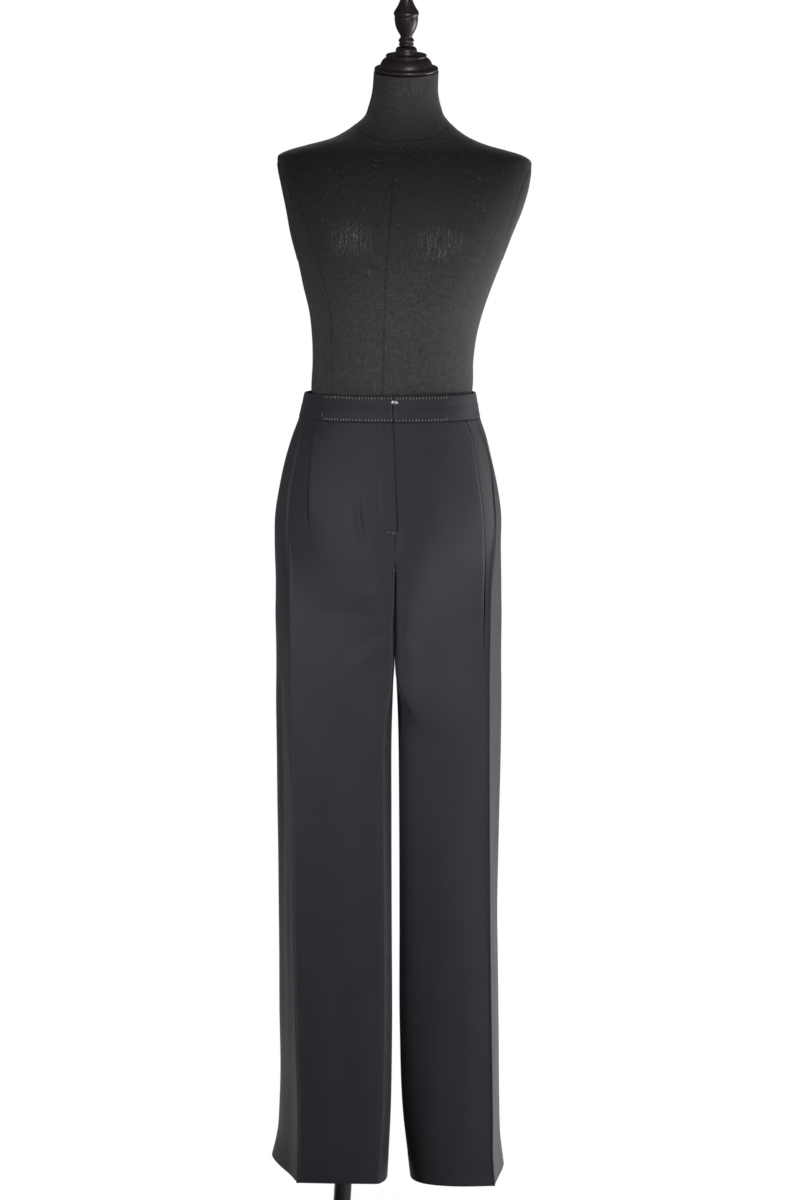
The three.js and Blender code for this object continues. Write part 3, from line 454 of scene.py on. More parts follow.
def soft_folds(rows, s, z):
    """Sum of soft creases: each stands out by its height times exp(-(distance / half
    width) squared), and dies away towards both ends along a half sine."""
    total = np.zeros(np.broadcast(s, z).shape)
    for s0, z0, s1, z1, half_width, stand in rows:
        run = np.array([s1 - s0, z1 - z0], float)
        length = np.hypot(*run)
        share = ((s - s0) * run[0] + (z - z0) * run[1]) / length**2
        across = ((s - s0) * run[1] - (z - z0) * run[0]) / length
        ends = np.sin(np.pi * np.clip(share, 0, 1)) ** 0.7
        total += stand * ends * bell(across, half_width)
    return total


def long_waves(s, z, phase):
    """Slow unevenness of hanging cloth: four crossed sines of unlike length, about 0.5 mm."""
    return (
        0.30 * np.sin(s / 17.0 + z / 210.0 + phase)
        + 0.24 * np.sin(s / 29.0 - z / 160.0 + 2.1 * phase)
        + 0.16 * np.sin(s / 9.5 + z / 75.0 + 0.7 * phase)
        + 0.10 * np.sin(z / 23.0 + s / 41.0 + 1.7 * phase)
    )


# -------- Meshes


def solid_volume(points, quads):
    """Six times the volume inside the faces: the sum over their two halves of a x b . c."""
    a, b, c, d = (points[quads[:, k]] for k in range(4))
    return float((np.cross(a, b) * c).sum() + (np.cross(a, c) * d).sum())


def new_piece(name, points, quads, material, uv=None):
    """Puts points in millimetres and four-cornered faces into a mesh, turned outwards by the
    sign of the volume that they enclose, and rides it on the one body."""
    points, quads = np.asarray(points, float), np.asarray(quads, np.int64)
    if solid_volume(points, quads) < 0:
        quads = quads[:, ::-1]
    mesh = bpy.data.meshes.new(name)
    mesh.from_pydata(points * MM, [], quads.tolist())
    mesh.validate()
    mesh.polygons.foreach_set("use_smooth", np.full(len(mesh.polygons), True))
    if uv is not None:
        loops = np.empty(len(mesh.loops), np.int64)
        mesh.loops.foreach_get("vertex_index", loops)
        layer = mesh.uv_layers.new(name="cloth")
        layer.data.foreach_set("uv", np.asarray(uv, np.float32)[loops].ravel())
    mesh.materials.append(material)
    mesh.update()
    piece = bpy.data.objects.new(name, mesh)
    bpy.context.scene.collection.objects.link(piece)
    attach(piece, BODY)
    return piece


def grid_quads(rows, columns, first=0):
    """Corner numbers of the faces of a grid of points numbered row by row."""
    r, c = np.meshgrid(np.arange(rows - 1), np.arange(columns - 1), indexing="ij")
    a = (first + r * columns + c).ravel()
    return plan(a, a + columns, a + columns + 1, a + 1)


def strip_quads(one, other):
    """Faces between two runs of point numbers."""
    return plan(one[:-1], one[1:], other[1:], other[:-1])


def wall(outer, inner):
    """A closed wall: the outer grid, the inner grid turned about, and the four edges."""
    rows, columns = outer.shape[:2]
    layer = rows * columns
    number = np.arange(layer).reshape(rows, columns)
    edges = [
        strip_quads(number[0], number[0] + layer),
        strip_quads(number[-1] + layer, number[-1]),
        strip_quads(number[:, 0] + layer, number[:, 0]),
        strip_quads(number[:, -1], number[:, -1] + layer),
    ]
    faces = [grid_quads(rows, columns), grid_quads(rows, columns, layer)[:, ::-1]]
    points = np.concatenate((outer.reshape(-1, 3), inner.reshape(-1, 3)))
    return points, np.concatenate(faces + edges)


def rings(grid, joined=False):
    """A tube through rings of points. Its last ring is joined to its first, or else each end
    is capped by a fan of narrow four-cornered faces."""
    rows, columns = grid.shape[:2]
    number = np.arange(rows * columns).reshape(rows, columns)
    closed = np.concatenate((number, number[:, :1]), axis=1)
    faces = [strip_quads(closed[r], closed[r + 1]) for r in range(rows - 1)]
    points = grid.reshape(-1, 3)
    if joined:
        faces.append(strip_quads(closed[-1], closed[0]))
        return points, np.concatenate(faces)
    points = np.concatenate((points, np.stack((grid[0].mean(0), grid[-1].mean(0)))))
    pairs = np.arange(0, columns, 2)
    for ring, hub, turn in ((closed[0], 2, 1), (closed[-1], 1, -1)):
        middle = np.full(len(pairs), len(points) - hub)
        after = ring[np.minimum(pairs + 2, columns)]
        faces.append(plan(ring[pairs], ring[pairs + 1], after, middle)[:, ::turn])
    return points, np.concatenate(faces)


def rounded_profile(profile):
    """Softens a turned outline by cutting each corner at a quarter and three quarters of
    its sides, three times over, with its two ends kept."""
    points = np.asarray(profile, float)
    for _ in range(3):
        a, b = points[:-1], points[1:]
        cut = np.stack((mix(a, b, 0.25), mix(a, b, 0.75)), axis=1).reshape(-1, 2)
        points = np.vstack((points[:1], cut, points[-1:]))
    return points


def turned_grid(profile, columns):
    """Rings of (radius, height) turned about the upright axis."""
    angle = np.linspace(0, 2 * np.pi, columns, endpoint=False)[None]
    radius, height = profile[:, :1], profile[:, 1:]
    return plan(radius * np.cos(angle), radius * np.sin(angle), height + 0 * angle)


# -------- Materials


class Nodes:
    """A short hand for building a tree of nodes: each call adds one and joins its inputs."""

    def __init__(self, tree):
        self.tree = tree
        self.tree.nodes.clear()

    def add(self, kind, inputs=None, **settings):
        """Adds a node, with its settings, and its inputs by number or name."""
        node = self.tree.nodes.new(kind)
        for key, value in settings.items():
            setattr(node, key, value)
        for key, value in (inputs or {}).items():
            self.join(node.inputs[key], value)
        return node

    def join(self, socket, value):
        """Links a socket to a node's first output or to an output, or sets its plain value."""
        if isinstance(value, bpy.types.Node):
            value = value.outputs[0]
        if isinstance(value, bpy.types.NodeSocket):
            self.tree.links.new(value, socket)
        else:
            socket.default_value = value

    def maths(self, operation, a, b=0.0, clamp=False):
        return self.add("ShaderNodeMath", {0: a, 1: b}, operation=operation, use_clamp=clamp)

    def times(self, a, b):
        return self.maths("MULTIPLY", a, b)

    def plus(self, a, b):
        return self.maths("ADD", a, b)

    def less(self, a, b):
        return self.maths("SUBTRACT", a, b)

    def larger(self, a, b):
        return self.maths("MAXIMUM", a, b)

    def between(self, value, low, high, start=0.0, end=1.0):
        """From start to end as the value goes from low to high."""
        inputs = {0: value, 1: low, 2: high, 3: start, 4: end}
        return self.add("ShaderNodeMapRange", inputs).outputs[0]

    def parts(self, vector):
        """A vector's x, y and z."""
        return self.add("ShaderNodeSeparateXYZ", {0: vector}).outputs

    def seen_or_given(self, seen, given):
        """One shader to look at, and another for the light that reaches the object."""
        looked_at = self.add("ShaderNodeLightPath").outputs["Is Camera Ray"]
        return self.add("ShaderNodeMixShader", {0: looked_at, 1: given, 2: seen})


class MaterialNodes(Nodes):
    """The nodes of a new material, with its shader and the places on its object."""

    def __init__(self, name):
        self.material = bpy.data.materials.new(name)
        self.material.use_nodes = True
        super().__init__(self.material.node_tree)
        self.output = self.add("ShaderNodeOutputMaterial")
        self.shader = self.add("ShaderNodeBsdfPrincipled")
        self.join(self.output.inputs[0], self.shader)
        coordinates = self.add("ShaderNodeTexCoord").outputs
        self.place, self.unrolled = coordinates["Object"], coordinates["UV"]

    def colour_mix(self, share, low, high):
        """One colour at share 0 and the other at 1, with even steps between them."""
        inputs = {0: share, 6: low, 7: high}
        return self.add("ShaderNodeMix", inputs, data_type="RGBA").outputs[2]

    def noise(self, scale, detail, roughness, vector=None):
        """Noise over the object's own places, or over another vector."""
        vector = self.place if vector is None else vector
        inputs = {"Vector": vector, "Scale": scale, "Detail": detail, "Roughness": roughness}
        return self.add("ShaderNodeTexNoise", inputs).outputs["Fac"]

    def streaks(self, scales, detail, roughness):
        """Noise with its own scale along each axis."""
        drawn = self.add("ShaderNodeMapping", {"Vector": self.place, "Scale": scales})
        return self.noise(1.0, detail, roughness, drawn)

    def bump(self, height, strength, distance):
        """Fine relief: a height from 0 to 1 times a distance in metres."""
        inputs = {"Height": height, "Strength": strength, "Distance": distance}
        return self.add("ShaderNodeBump", inputs)

    def set(self, **values):
        """Joins the shader's inputs by name and gives back the material."""
        for key, value in values.items():
            self.join(self.shader.inputs[key.replace("_", " ")], value)
        return self.material


def rgba(colour, times=1.0):
    """A colour's three parts times a factor, fully opaque."""
    return (*(c * times for c in colour[:3]), 1.0)


def cloth_material(looks):
    """Charcoal crepe: pebbled twist of fine threads, a soft sheen, faint mottling and a few
    specks of lint."""
    n = MaterialNodes("charcoal_crepe")
    pebble = n.noise(1500.0, 2.0, 0.65)
    ribs = n.streaks((900.0, 900.0, 140.0), 2.0, 0.6)
    mottle = n.between(n.noise(14.0, 3.0, 0.55), 0.35, 0.65)
    base = n.colour_mix(mottle, rgba(looks.cloth, 0.90), rgba(looks.cloth, 1.10))
    base = n.colour_mix(n.between(pebble, 0.30, 0.70), rgba(looks.cloth, 0.80), base)
    lint = n.add("ShaderNodeTexVoronoi", {"Vector": n.place, "Scale": 42.0, "Randomness": 1.0})
    speck = n.maths("LESS_THAN", lint.outputs["Distance"], 0.022)
    rare = n.maths("GREATER_THAN", n.noise(23.0, 1.0, 0.5), 0.60)
    base = n.colour_mix(n.times(speck, rare), base, (0.20, 0.19, 0.20, 1.0))
    return n.set(
        Base_Color=base, Roughness=0.62, Specular_IOR_Level=0.30,
        Sheen_Weight=0.15, Sheen_Roughness=0.4, Sheen_Tint=(0.80, 0.79, 0.84, 1.0),
        Normal=n.bump(n.plus(pebble, n.times(ribs, 0.6)), 0.35, 0.00025),
    )


# Patches worn pale on the form's front: x and height of the middle, half width and half
# height in metres, and how plainly it shows
WORN_PATCHES = (
    (0.022, 1.466, 0.036, 0.030, 1.0),
    (0.140, 1.460, 0.040, 0.026, 1.0),
    (0.100, 1.668, 0.026, 0.016, 0.8),
    (0.085, 1.340, 0.080, 0.120, 0.35),
)
SEAM_SHADE = 0.6


def form_cover_material(looks):
    """Black plain weave of coarse threads: two crossed sets of stretched noise for the threads,
    pale slubs, and upright scuffs worn at the bust and under the neck's cap. Painted shade
    darkens it about the shoulders, and painted light makes it paler down to the belly and up the
    neck."""
    n = MaterialNodes("black_form_cover")
    upright = n.streaks((1000.0, 1000.0, 90.0), 2.0, 0.6)
    weave = n.larger(upright, n.streaks((90.0, 90.0, 1000.0), 2.0, 0.6))
    pale = rgba(looks.form, 2.6)
    base = n.colour_mix(n.between(weave, 0.46, 0.72), rgba(looks.form, 0.5), pale)
    grain = n.between(n.streaks((430.0, 430.0, 190.0), 3.0, 0.7), 0.38, 0.60)
    base = n.colour_mix(grain, rgba(looks.form, 0.25), base)
    cloudy = n.between(n.noise(9.0, 2.0, 0.5), 0.30, 0.75)
    base = n.colour_mix(cloudy, rgba(looks.form, 0.8), base)
    x, y, z = n.parts(n.place)
    # Painted light and shade by height: the cover is darkest about the shoulders at 1.58 m and
    # paler towards the belly and up the neck
    painted_light_by_height = n.larger(n.between(z, 1.58, 1.36), n.between(z, 1.58, 1.65))
    # The painted shade tone: the cover's colour darkened towards black
    darker = n.colour_mix(0.45, base, (0.0, 0.0, 0.0, 1.0))
    painted_light_tone = n.colour_mix(n.between(weave, 0.30, 0.75), base, pale)
    base = n.colour_mix(painted_light_by_height, darker, painted_light_tone)

    on_front = n.maths("LESS_THAN", y, -0.01)
    worn = 0.0
    for middle_x, middle_z, half_x, half_z, shown in WORN_PATCHES:
        dx = n.maths("DIVIDE", n.less(x, middle_x), half_x)
        dz = n.maths("DIVIDE", n.less(z, middle_z), half_z)
        square = n.plus(n.times(dx, dx), n.times(dz, dz))
        oval = n.times(n.maths("SUBTRACT", 1.0, square, True), on_front)
        worn = n.larger(worn, n.times(oval, shown))
    threads = n.between(n.streaks((800.0, 800.0, 22.0), 4.0, 0.7), 0.50, 0.68)
    broken = n.between(n.noise(420.0, 2.0, 0.6), 0.36, 0.62)
    slubs = n.between(n.streaks((260.0, 260.0, 60.0), 1.0, 0.5), 0.72, 0.82)
    scuff = n.larger(n.times(n.times(threads, worn), broken), n.times(slubs, 0.25))
    base = n.colour_mix(scuff, base, rgba(looks.scuff))
    seam = n.times(n.parts(n.unrolled)[0], SEAM_SHADE)
    base = n.colour_mix(seam, base, (0.002, 0.002, 0.002, 1.0))
    return n.set(
        Base_Color=base, Roughness=0.85, Specular_IOR_Level=0.25,
        Sheen_Weight=0.22, Sheen_Roughness=0.45, Sheen_Tint=(0.90, 0.86, 0.84, 1.0),
        Normal=n.bump(weave, 0.7, 0.0005),
    )


def wood_material(looks):
    """Turned wood under dark polish: grain stretched along the axis, worn warm in places."""
    n = MaterialNodes("dark_turned_wood")
    grain = n.streaks((420.0, 420.0, 40.0), 4.0, 0.6)
    wear = n.noise(55.0, 3.0, 0.6)
    base = n.colour_mix(grain, rgba(looks.wood, 0.6), rgba(looks.wood, 1.5))
    base = n.colour_mix(n.between(wear, 0.62, 0.80), base, rgba(looks.worn_wood))
    return n.set(
        Base_Color=base, Roughness=n.between(wear, 0.0, 1.0, 0.32, 0.52),
        Coat_Weight=0.2, Coat_Roughness=0.3, Normal=n.bump(grain, 0.12, 0.0004),
    )


def stand_material(looks):
    """Black enamel on steel: orange-peel waviness and faint rubbed streaks."""
    n = MaterialNodes("black_stand_enamel")
    rubbed = n.streaks((300.0, 300.0, 14.0), 3.0, 0.6)
    base = n.colour_mix(n.between(rubbed, 0.45, 0.80), rgba(looks.stand), rgba(looks.stand, 1.8))
    return n.set(
        Base_Color=base, Roughness=n.plus(0.26, n.times(rubbed, 0.18)), Specular_IOR_Level=0.5,
        Normal=n.bump(n.noise(260.0, 2.0, 0.5), 0.10, 0.0004),
    )


def hook_material(looks):
    """Nickel plate, slightly brushed."""
    n = MaterialNodes("nickel_plate")
    brushed = n.streaks((300.0, 300.0, 3000.0), 2.0, 0.5)
    base = n.colour_mix(brushed, rgba(looks.nickel, 0.8), rgba(looks.nickel, 1.1))
    return n.set(Base_Color=base, Metallic=1.0, Roughness=n.plus(0.24, n.times(brushed, 0.15)))


def thread_material(name, colour):
    """Spun sewing thread: fine slanting ply in colour and relief."""
    n = MaterialNodes(name)
    ply = n.streaks((2600.0, 2600.0, 1400.0), 1.0, 0.5)
    base = n.colour_mix(ply, rgba(colour, 0.75), rgba(colour, 1.2))
    return n.set(
        Base_Color=base, Roughness=0.6, Sheen_Weight=0.2, Normal=n.bump(ply, 0.4, 0.0001)
    )


# -------- Front and back panels of the legs

CLOTH_MM = 1.3
HEM_TURN_UP, HEM_ROLL, HEM_STEP = 38.0, 0.55, 0.22
SEAM_DEPTH, SEAM_WIDTH = 0.75, 1.3
# Heights above which the two centre edges are held together
HELD_FROM = (845.0, 875.0)
# Depth and spread of the pressed crease and where it fades out, in front and behind
PRESSED_FRONT, PRESSED_BACK = (1.2, 1.5, 1040.0, 1090.0), (1.5, 2.4, 880.0, 1010.0)
# The back dart's distance from the crease, the depth and half width of its groove and the
# heights over which it deepens, and the same of the fullness about it
DART_AT = 24.0
DART_GROOVE, DART_GROOVE_FROM = (0.7, 1.6), (1130.0, 1150.0)
DART_SWELL, DART_SWELL_FROM = (0.5, 9.0), (1120.0, 1190.0)
# Heights over which the fly starts to hide the centre seam, and the hollow under its lower end
FLY_COVERS, SLOT_FROM = (1076.0, 1090.0), (1078.0, 1096.0)
HOLLOW_RISES, HOLLOW_ENDS, HOLLOW_DEPTH, HOLLOW_WIDTH = (1040, 1065), (1095, 1140), 2.0, 12.0
# How a pleat's folded edge runs: the columns' places before folding, their places when folded
# less the slot's width where they lie beyond it, the share of the pleat's height that each has
# and how far each sinks into the slot under the edge.
FOLD_FLAT = np.array((-5, -3.4, -2.2, -1.6, -1.5, -1.4, -1.3, -1.2, -1.1, -1.0, -0.6, 0.8, 2.4, 5))
FOLD_BENT = np.array(
    (-5, -1.6, -0.85, -0.65, -0.6, -0.4, -0.6, -0.8, -0.62, -0.55, -0.35, 0.6, 2.3, 5)
)
FOLD_OVER = np.array((0, 1, 1, 1, 1, 1, 0.5, 0, 0, 0, 0, 0, 0, 0))
FOLD_RISE = np.array((0, -0.01, -0.02, -0.04, 0, 0, 0, 0, 0, 0.35, 0.62, 0.92, 1, 1))
FOLD_SINK = np.array((0, 0, 0, 0.12, 0.9, 1, 1, 1, 0.9, 0, 0, 0, 0, 0))
SLOT_DEPTH = 5.0
CREASE_NEAR = np.array((-5, -3.6, -2.6, -1.9, -1.3, -0.8, -0.4, 0, 0.4, 0.8, 1.3, 2.0, 3.2, 5))


def panel_heights(leg, rise):
    """Rows of a panel from the waist seam down, close together at the pleats, where the
    crotch curve turns and at the hem."""
    turn = np.sin(np.linspace(0, np.pi / 2, 30))
    hem = leg["hem"]
    return np.concatenate((
        np.linspace(WAIST_SEAM_Z - 0.2, CROTCH_Z + rise, 62)[:-1],
        CROTCH_Z + rise * (1 - turn),
        np.linspace(CROTCH_Z, LEGS_PART[0], 30)[1:],
        np.linspace(LEGS_PART[0], hem + HEM_TURN_UP + 6, 98)[1:-1],
        hem + HEM_TURN_UP + np.array((6.0, 3.0, 1.2, 0.0, -1.5, -5.0)),
        np.linspace(hem + 30, hem + 5, 6),
        hem + np.array((2.6, 1.2, 0.5, 0.0)),
    ))


def edge_finish(z, hem):
    """Roll of the hem's folded edge, and the shallow step where the turned-up hem ends."""
    turned_to = hem + HEM_TURN_UP
    step = HEM_STEP * (1 - smooth_step(turned_to - 3, turned_to + 3, z))
    return step - HEM_ROLL * bell(z - hem, 0.8)


def seam_groove(distance):
    """Depth of a seam's groove: 0.75 mm times exp(-distance / 1.3)."""
    return SEAM_DEPTH * np.exp(-distance / SEAM_WIDTH)


def held(ahead, level):
    """1 below the legs' parting, and above it the square of how far the cloth looks ahead."""
    return mix(1, ahead**2, smooth_step(*HELD_FROM, level))


def pressed_ridge(flat, level, depth, spread, low, high):
    """A pressed crease: depth times exp(-distance / spread), less from low to high."""
    return depth * (1 - smooth_step(low, high, level)) * np.exp(-np.abs(flat) / spread)


def soft_relief(folds, flat, level, from_side, from_end, phase):
    """Soft folds and long waves, which die away at the seams, the crease and the waist."""
    calm = smooth_step(0, 26, from_side) * smooth_step(0, 22, from_end)
    calm = calm * smooth_step(0, 14, np.abs(flat)) * smooth_step(0, 30, WAIST_SEAM_Z - level)
    return (soft_folds(folds, flat, level) + long_waves(flat, level, phase)) * calm


def cloth_depth(leg, level):
    """Thickness of the cloth, nearly doubled below the top of the turned-up hem."""
    single = smooth_step(0, 4, level - leg["hem"] - HEM_TURN_UP)
    return CLOTH_MM * (1 + 0.9 * (1 - single))


def front_surface(leg, z):
    """Front panel: each row's outline, the columns' places on it before and after the inner
    pleat is folded, and the relief of the pleat, the valley and the pressed crease."""
    side_run, front_run, _, _ = leg_curves(leg, z)
    path = np.concatenate((side_run, front_run[:, 1:]), axis=1)
    run = lengths_of(path)
    crease_at = lengths_of(side_run)[:, -1:]
    total = run[:, -1:]
    level = z[:, None]
    pleat_at, stand = (c[:, None] for c in read_rows(leg["pleat"], z).T)
    stand = np.where(level > leg["pleat"][0][0], stand, 0)

    corner = run[:, side_run.shape[1] - 1 + CORNER_INDEX][:, None]
    corner = np.minimum(corner, total - 3) - crease_at
    start = mix(-crease_at, CREASE_NEAR[0], crowded(42)[None, :-1])
    gap = mix(CREASE_NEAR[-1], pleat_at + FOLD_FLAT[0], np.linspace(0, 1, 9)[None, 1:-1])
    end = mix(pleat_at + FOLD_FLAT[-1], corner, crowded(50)[None, 1:])
    beyond = mix(corner, total - crease_at, crowded(22)[None, 1:])
    folding = np.clip(stand / 1.1, 0, 1)
    folded = mix(FOLD_FLAT, FOLD_BENT - leg["slot"] * FOLD_OVER, folding)
    near = CREASE_NEAR + 0 * level
    flat = np.concatenate((start, near, gap, pleat_at + FOLD_FLAT, end, beyond), axis=1)
    bent = np.concatenate((start, near, gap, pleat_at + folded, end, beyond), axis=1)

    from_pleat = flat - pleat_at
    before = start.shape[1] + len(CREASE_NEAR) + gap.shape[1]
    at_fold = slice(before, before + len(FOLD_RISE))
    share = np.where(from_pleat < 0, 0, np.exp(-np.maximum(from_pleat - 5, 0) / PLEAT_SPREAD))
    share[:, at_fold] = FOLD_RISE
    sink = np.zeros(flat.shape)
    sink[:, at_fold] = FOLD_SINK * SLOT_DEPTH * folding
    valley_at, half_width, depth = (c[:, None] for c in read_rows(leg["valley"], z).T)
    from_valley = flat - valley_at
    valley = depth * bell(from_valley, half_width)
    beside = 0.3 * depth * bell(from_valley + 3.2 * half_width, 1.6 * half_width)
    pressed = pressed_ridge(flat - 0.4, level, *PRESSED_FRONT)
    return path, crease_at, total, flat, bent, stand * share + beside + pressed - valley - sink


def front_panel(leg, folds, material):
    """Front panel: its relief is the pleats' plus soft folds, a groove at each seam, and at
    the centre a slot beside the fly's free edge. The inner face follows the lowest of the
    relief beside each point, so that the wall never crosses itself."""
    z = panel_heights(leg, FRONT_RISE)
    path, crease_at, total, flat, bent, lift = front_surface(leg, z)
    level = z[:, None]
    from_side, from_end = flat + crease_at, total - crease_at - flat
    base, facing = along(path, bent + crease_at), outward(path, bent + crease_at)
    out, ahead = base[..., 0], np.clip(-facing[..., 1], 0, 1)
    shut = held(ahead, level)
    soft = soft_relief(folds, flat, level, from_side, from_end, 1.0 + leg["side"])
    lift = lift + soft * shut - seam_groove(from_side)
    lift = lift - seam_groove(from_end) * (1 - smooth_step(*FLY_COVERS, level)) * shut
    beside_fly = leg["side"] * out - fly_edge(level)
    slot = smooth_step(0.3, 1.3, beside_fly) * np.exp(-np.maximum(beside_fly - 1.3, 0) / 9)
    lift = lift + 1.2 * slot * ahead * smooth_step(*SLOT_FROM, level)
    if leg is LEFT:
        under_fly = smooth_step(*HOLLOW_RISES, level) * (1 - smooth_step(*HOLLOW_ENDS, level))
        lift = lift - HOLLOW_DEPTH * under_fly * bell(out, HOLLOW_WIDTH) * ahead
    lift = lift + edge_finish(level, leg["hem"])
    inside = np.minimum(lift, 0)
    lowest = np.minimum(inside[:, :-2], inside[:, 2:])
    inside[:, 1:-1] = np.minimum(inside[:, 1:-1], lowest)
    outer = base + facing * lift[..., None]
    inner = base + facing * (inside - cloth_depth(leg, level))[..., None]
    return panel_piece("front_panel", leg, z, outer, inner, flat, material)


def panel_piece(name, leg, z, outer, inner, flat, material):
    """A leg's wall between two grids of plan points, unrolled to (length round, height)."""
    points, quads = wall(to_space(leg["side"], outer, z), to_space(leg["side"], inner, z))
    uv = np.stack(np.broadcast_arrays(flat, z[:, None]), axis=-1).reshape(-1, 2) * MM
    return new_piece(f"{name}_{leg['name']}", points, quads, material, uv=np.tile(uv, (2, 1)))


def back_panel(leg, folds, material):
    """Back panel: a pressed crease below the seat, a dart from the waist, and soft folds."""
    z = panel_heights(leg, BACK_RISE)
    _, _, seat_run, back_run = leg_curves(leg, z)
    path = np.concatenate((seat_run, back_run[:, 1:]), axis=1)
    crease_at = lengths_of(seat_run)[:, -1:]
    total = lengths_of(path)[:, -1:]
    level = z[:, None]
    near = np.array((-4.0, -2.0, -1.0, -0.4, 0.0, 0.4, 1.0, 2.0, 4.0))
    start = mix(-crease_at, near[0], crowded(46)[None, :-1])
    end = mix(near[-1], total - crease_at, crowded(52)[None, 1:])
    flat = np.concatenate((start, near + 0 * level, end), axis=1)
    from_side, from_end = flat + crease_at, total - crease_at - flat

    from_dart = flat - DART_AT
    (depth, half_width), (stand, spread) = DART_GROOVE, DART_SWELL
    dart = smooth_step(*DART_GROOVE_FROM, level) * -depth * bell(from_dart, half_width)
    dart = dart + smooth_step(*DART_SWELL_FROM, level) * stand * bell(from_dart, spread)
    soft = soft_relief(folds, flat, level, from_side, from_end, 3.0 + leg["side"])
    facing = -outward(path, from_side)
    shut = held(facing[..., 1], level)
    lift = pressed_ridge(flat, level, *PRESSED_BACK) + dart + soft * shut
    lift = lift + edge_finish(level, leg["hem"])
    lift = lift - seam_groove(from_side) - seam_groove(from_end) * shut
    base = along(path, from_side)
    outer = base + facing * lift[..., None]
    inner = base - facing * (cloth_depth(leg, level) + 0 * flat)[..., None]
    return panel_piece("back_panel", leg, z, outer, inner, flat, material)


# -------- Waistband

BAND_STAND = 0.6
BAND_MM = 2.2
OPENING = 2.3
BAND_SEAM_RIGHT, BAND_SEAM_LEFT = 97.0, 70.6
# The band's rows of stitches: from one to the next, where they lie as shares of the band's
# height, how they lean, and the length, radius and rise of a thread
STITCH_MM = 4.4
STITCH_SHARES, STITCH_LEANS = (0.055, 0.915), (0.22, 0.08)
THREAD_MM, THREAD_RADIUS, THREAD_RISE = 3.4, 0.48, 0.30
# Profile round the band, from the bottom of its outer face up and over to the inner face:
# height above the bottom as a share of the band's height, and distance outwards.
BAND_FACE = np.linspace(0.035, 0.965, 44)
BAND_PROFILE = np.concatenate((
    [[0.0, -0.75], [0.006, -0.35], [0.018, -0.08]],
    plan(BAND_FACE, 0.30 * np.sin(np.pi * BAND_FACE) ** 0.5),
    [[0.984, -0.10], [0.996, -0.45], [1.0, -0.90], [0.998, -1.45]],
    [[0.985, -BAND_MM], [0.75, -BAND_MM], [0.5, -BAND_MM], [0.25, -BAND_MM], [0.01, -BAND_MM]],
))


def waist_loop(heights):
    """The waist as a closed loop at each height, from centre front round by the right."""
    halves = []
    for leg in (RIGHT, LEFT):
        side_run, front_run, seat_run, back_run = leg_curves(leg, heights)
        half = np.concatenate(
            (front_run[:, ::-1], side_run[:, -2::-1], seat_run[:, 1:], back_run[:, 1:]), axis=1
        )
        half[..., 0] = CENTRE_X + leg["side"] * half[..., 0]
        halves.append(half)
    return np.concatenate((halves[0], halves[1][:, ::-1], halves[0][:, :1]), axis=1)


def on_loop(loop, lengths):
    """Points and outward directions at lengths from centre front, below zero to the left."""
    total = lengths_of(loop)[:, -1:]
    behind, here, ahead = (along(loop, np.mod(lengths + step, total)) for step in (-1, 0, 1))
    tangent = unit(ahead - behind)
    return here, plan(-tangent[..., 1], tangent[..., 0])


def length_at_out(loop, out, side):
    """Length from centre front at which the loop first is a distance from the centre plane."""
    run, row = lengths_of(loop), np.arange(len(loop))
    wide = np.abs(loop[..., 0] - CENTRE_X) >= out
    if side < 0:
        return run[:, -1] - run[row, wide.shape[1] - 1 - wide[:, ::-1].argmax(1)]
    return run[row, wide.argmax(1)]


def band_lift(share, lengths, from_opening, stitched):
    """Relief of the band's outer face: slow waves, faint creases along the middle, puckers and
    grooves along the stitching, and the turned edge at the opening."""
    h = share[:, None]
    stitched_in = bell(h - STITCH_SHARES[0], 0.03) + bell(h - STITCH_SHARES[1], 0.03)
    near_rows = bell(h - 0.06, 0.09) + bell(h - 0.92, 0.09)
    pucker = 0.16 * np.cos(2 * np.pi * lengths / STITCH_MM) * near_rows
    middle = 0.16 * bell(h - 0.42 - 0.05 * np.sin(lengths / 19), 0.09)
    middle = middle - 0.20 * bell(h - 0.60 - 0.04 * np.sin(lengths / 27), 0.08)
    wave = 0.16 * np.sin(lengths / 13 + 2 * h) + 0.12 * np.sin(lengths / 31 - 3 * h)
    face = np.sin(np.pi * np.clip(h, 0, 1)) ** 0.5
    ragged = 0.8 + 0.35 * np.sin(11 * h) + 0.25 * np.sin(29 * h + 1)
    edge = 1.1 * bell(from_opening, ragged)
    edge = edge + 0.30 * bell(from_opening - 3.0, 0.7)
    return (middle + wave) * face + stitched * (pucker - 0.25 * stitched_in - edge * face)


def band_piece(name, start_at, end_at, columns, opening_side, material):
    """A stretch of waistband: its profile carried along the loop, with closed ends. The
    opening is at its start (-1), at its end (1), or elsewhere (0)."""
    share, stand = BAND_PROFILE.T
    z = mix(WAIST_SEAM_Z, WAIST_TOP_Z, share)
    loop = waist_loop(z)
    first, last = start_at(loop)[:, None], end_at(loop)[:, None]
    lengths = mix(first, last, crowded(columns, 0.75)[None])
    points, facing = on_loop(loop, lengths)
    outer = (stand > -1.2)[:, None]
    from_opening = last - lengths if opening_side > 0 else lengths - first
    relief = band_lift(share, lengths, from_opening, float(opening_side != 0))
    points = points + facing * (BAND_STAND + stand[:, None] + outer * relief)[..., None]
    grid = plan(points[..., 0], points[..., 1], np.broadcast_to(z[:, None], lengths.shape))
    points, quads = rings(np.swapaxes(grid, 0, 1))
    uv = plan(lengths, np.broadcast_to(z[:, None], lengths.shape)).swapaxes(0, 1).reshape(-1, 2)
    uv = np.concatenate((uv, uv[:1], uv[-1:])) * MM
    return new_piece(name, points, quads, material, uv=uv)


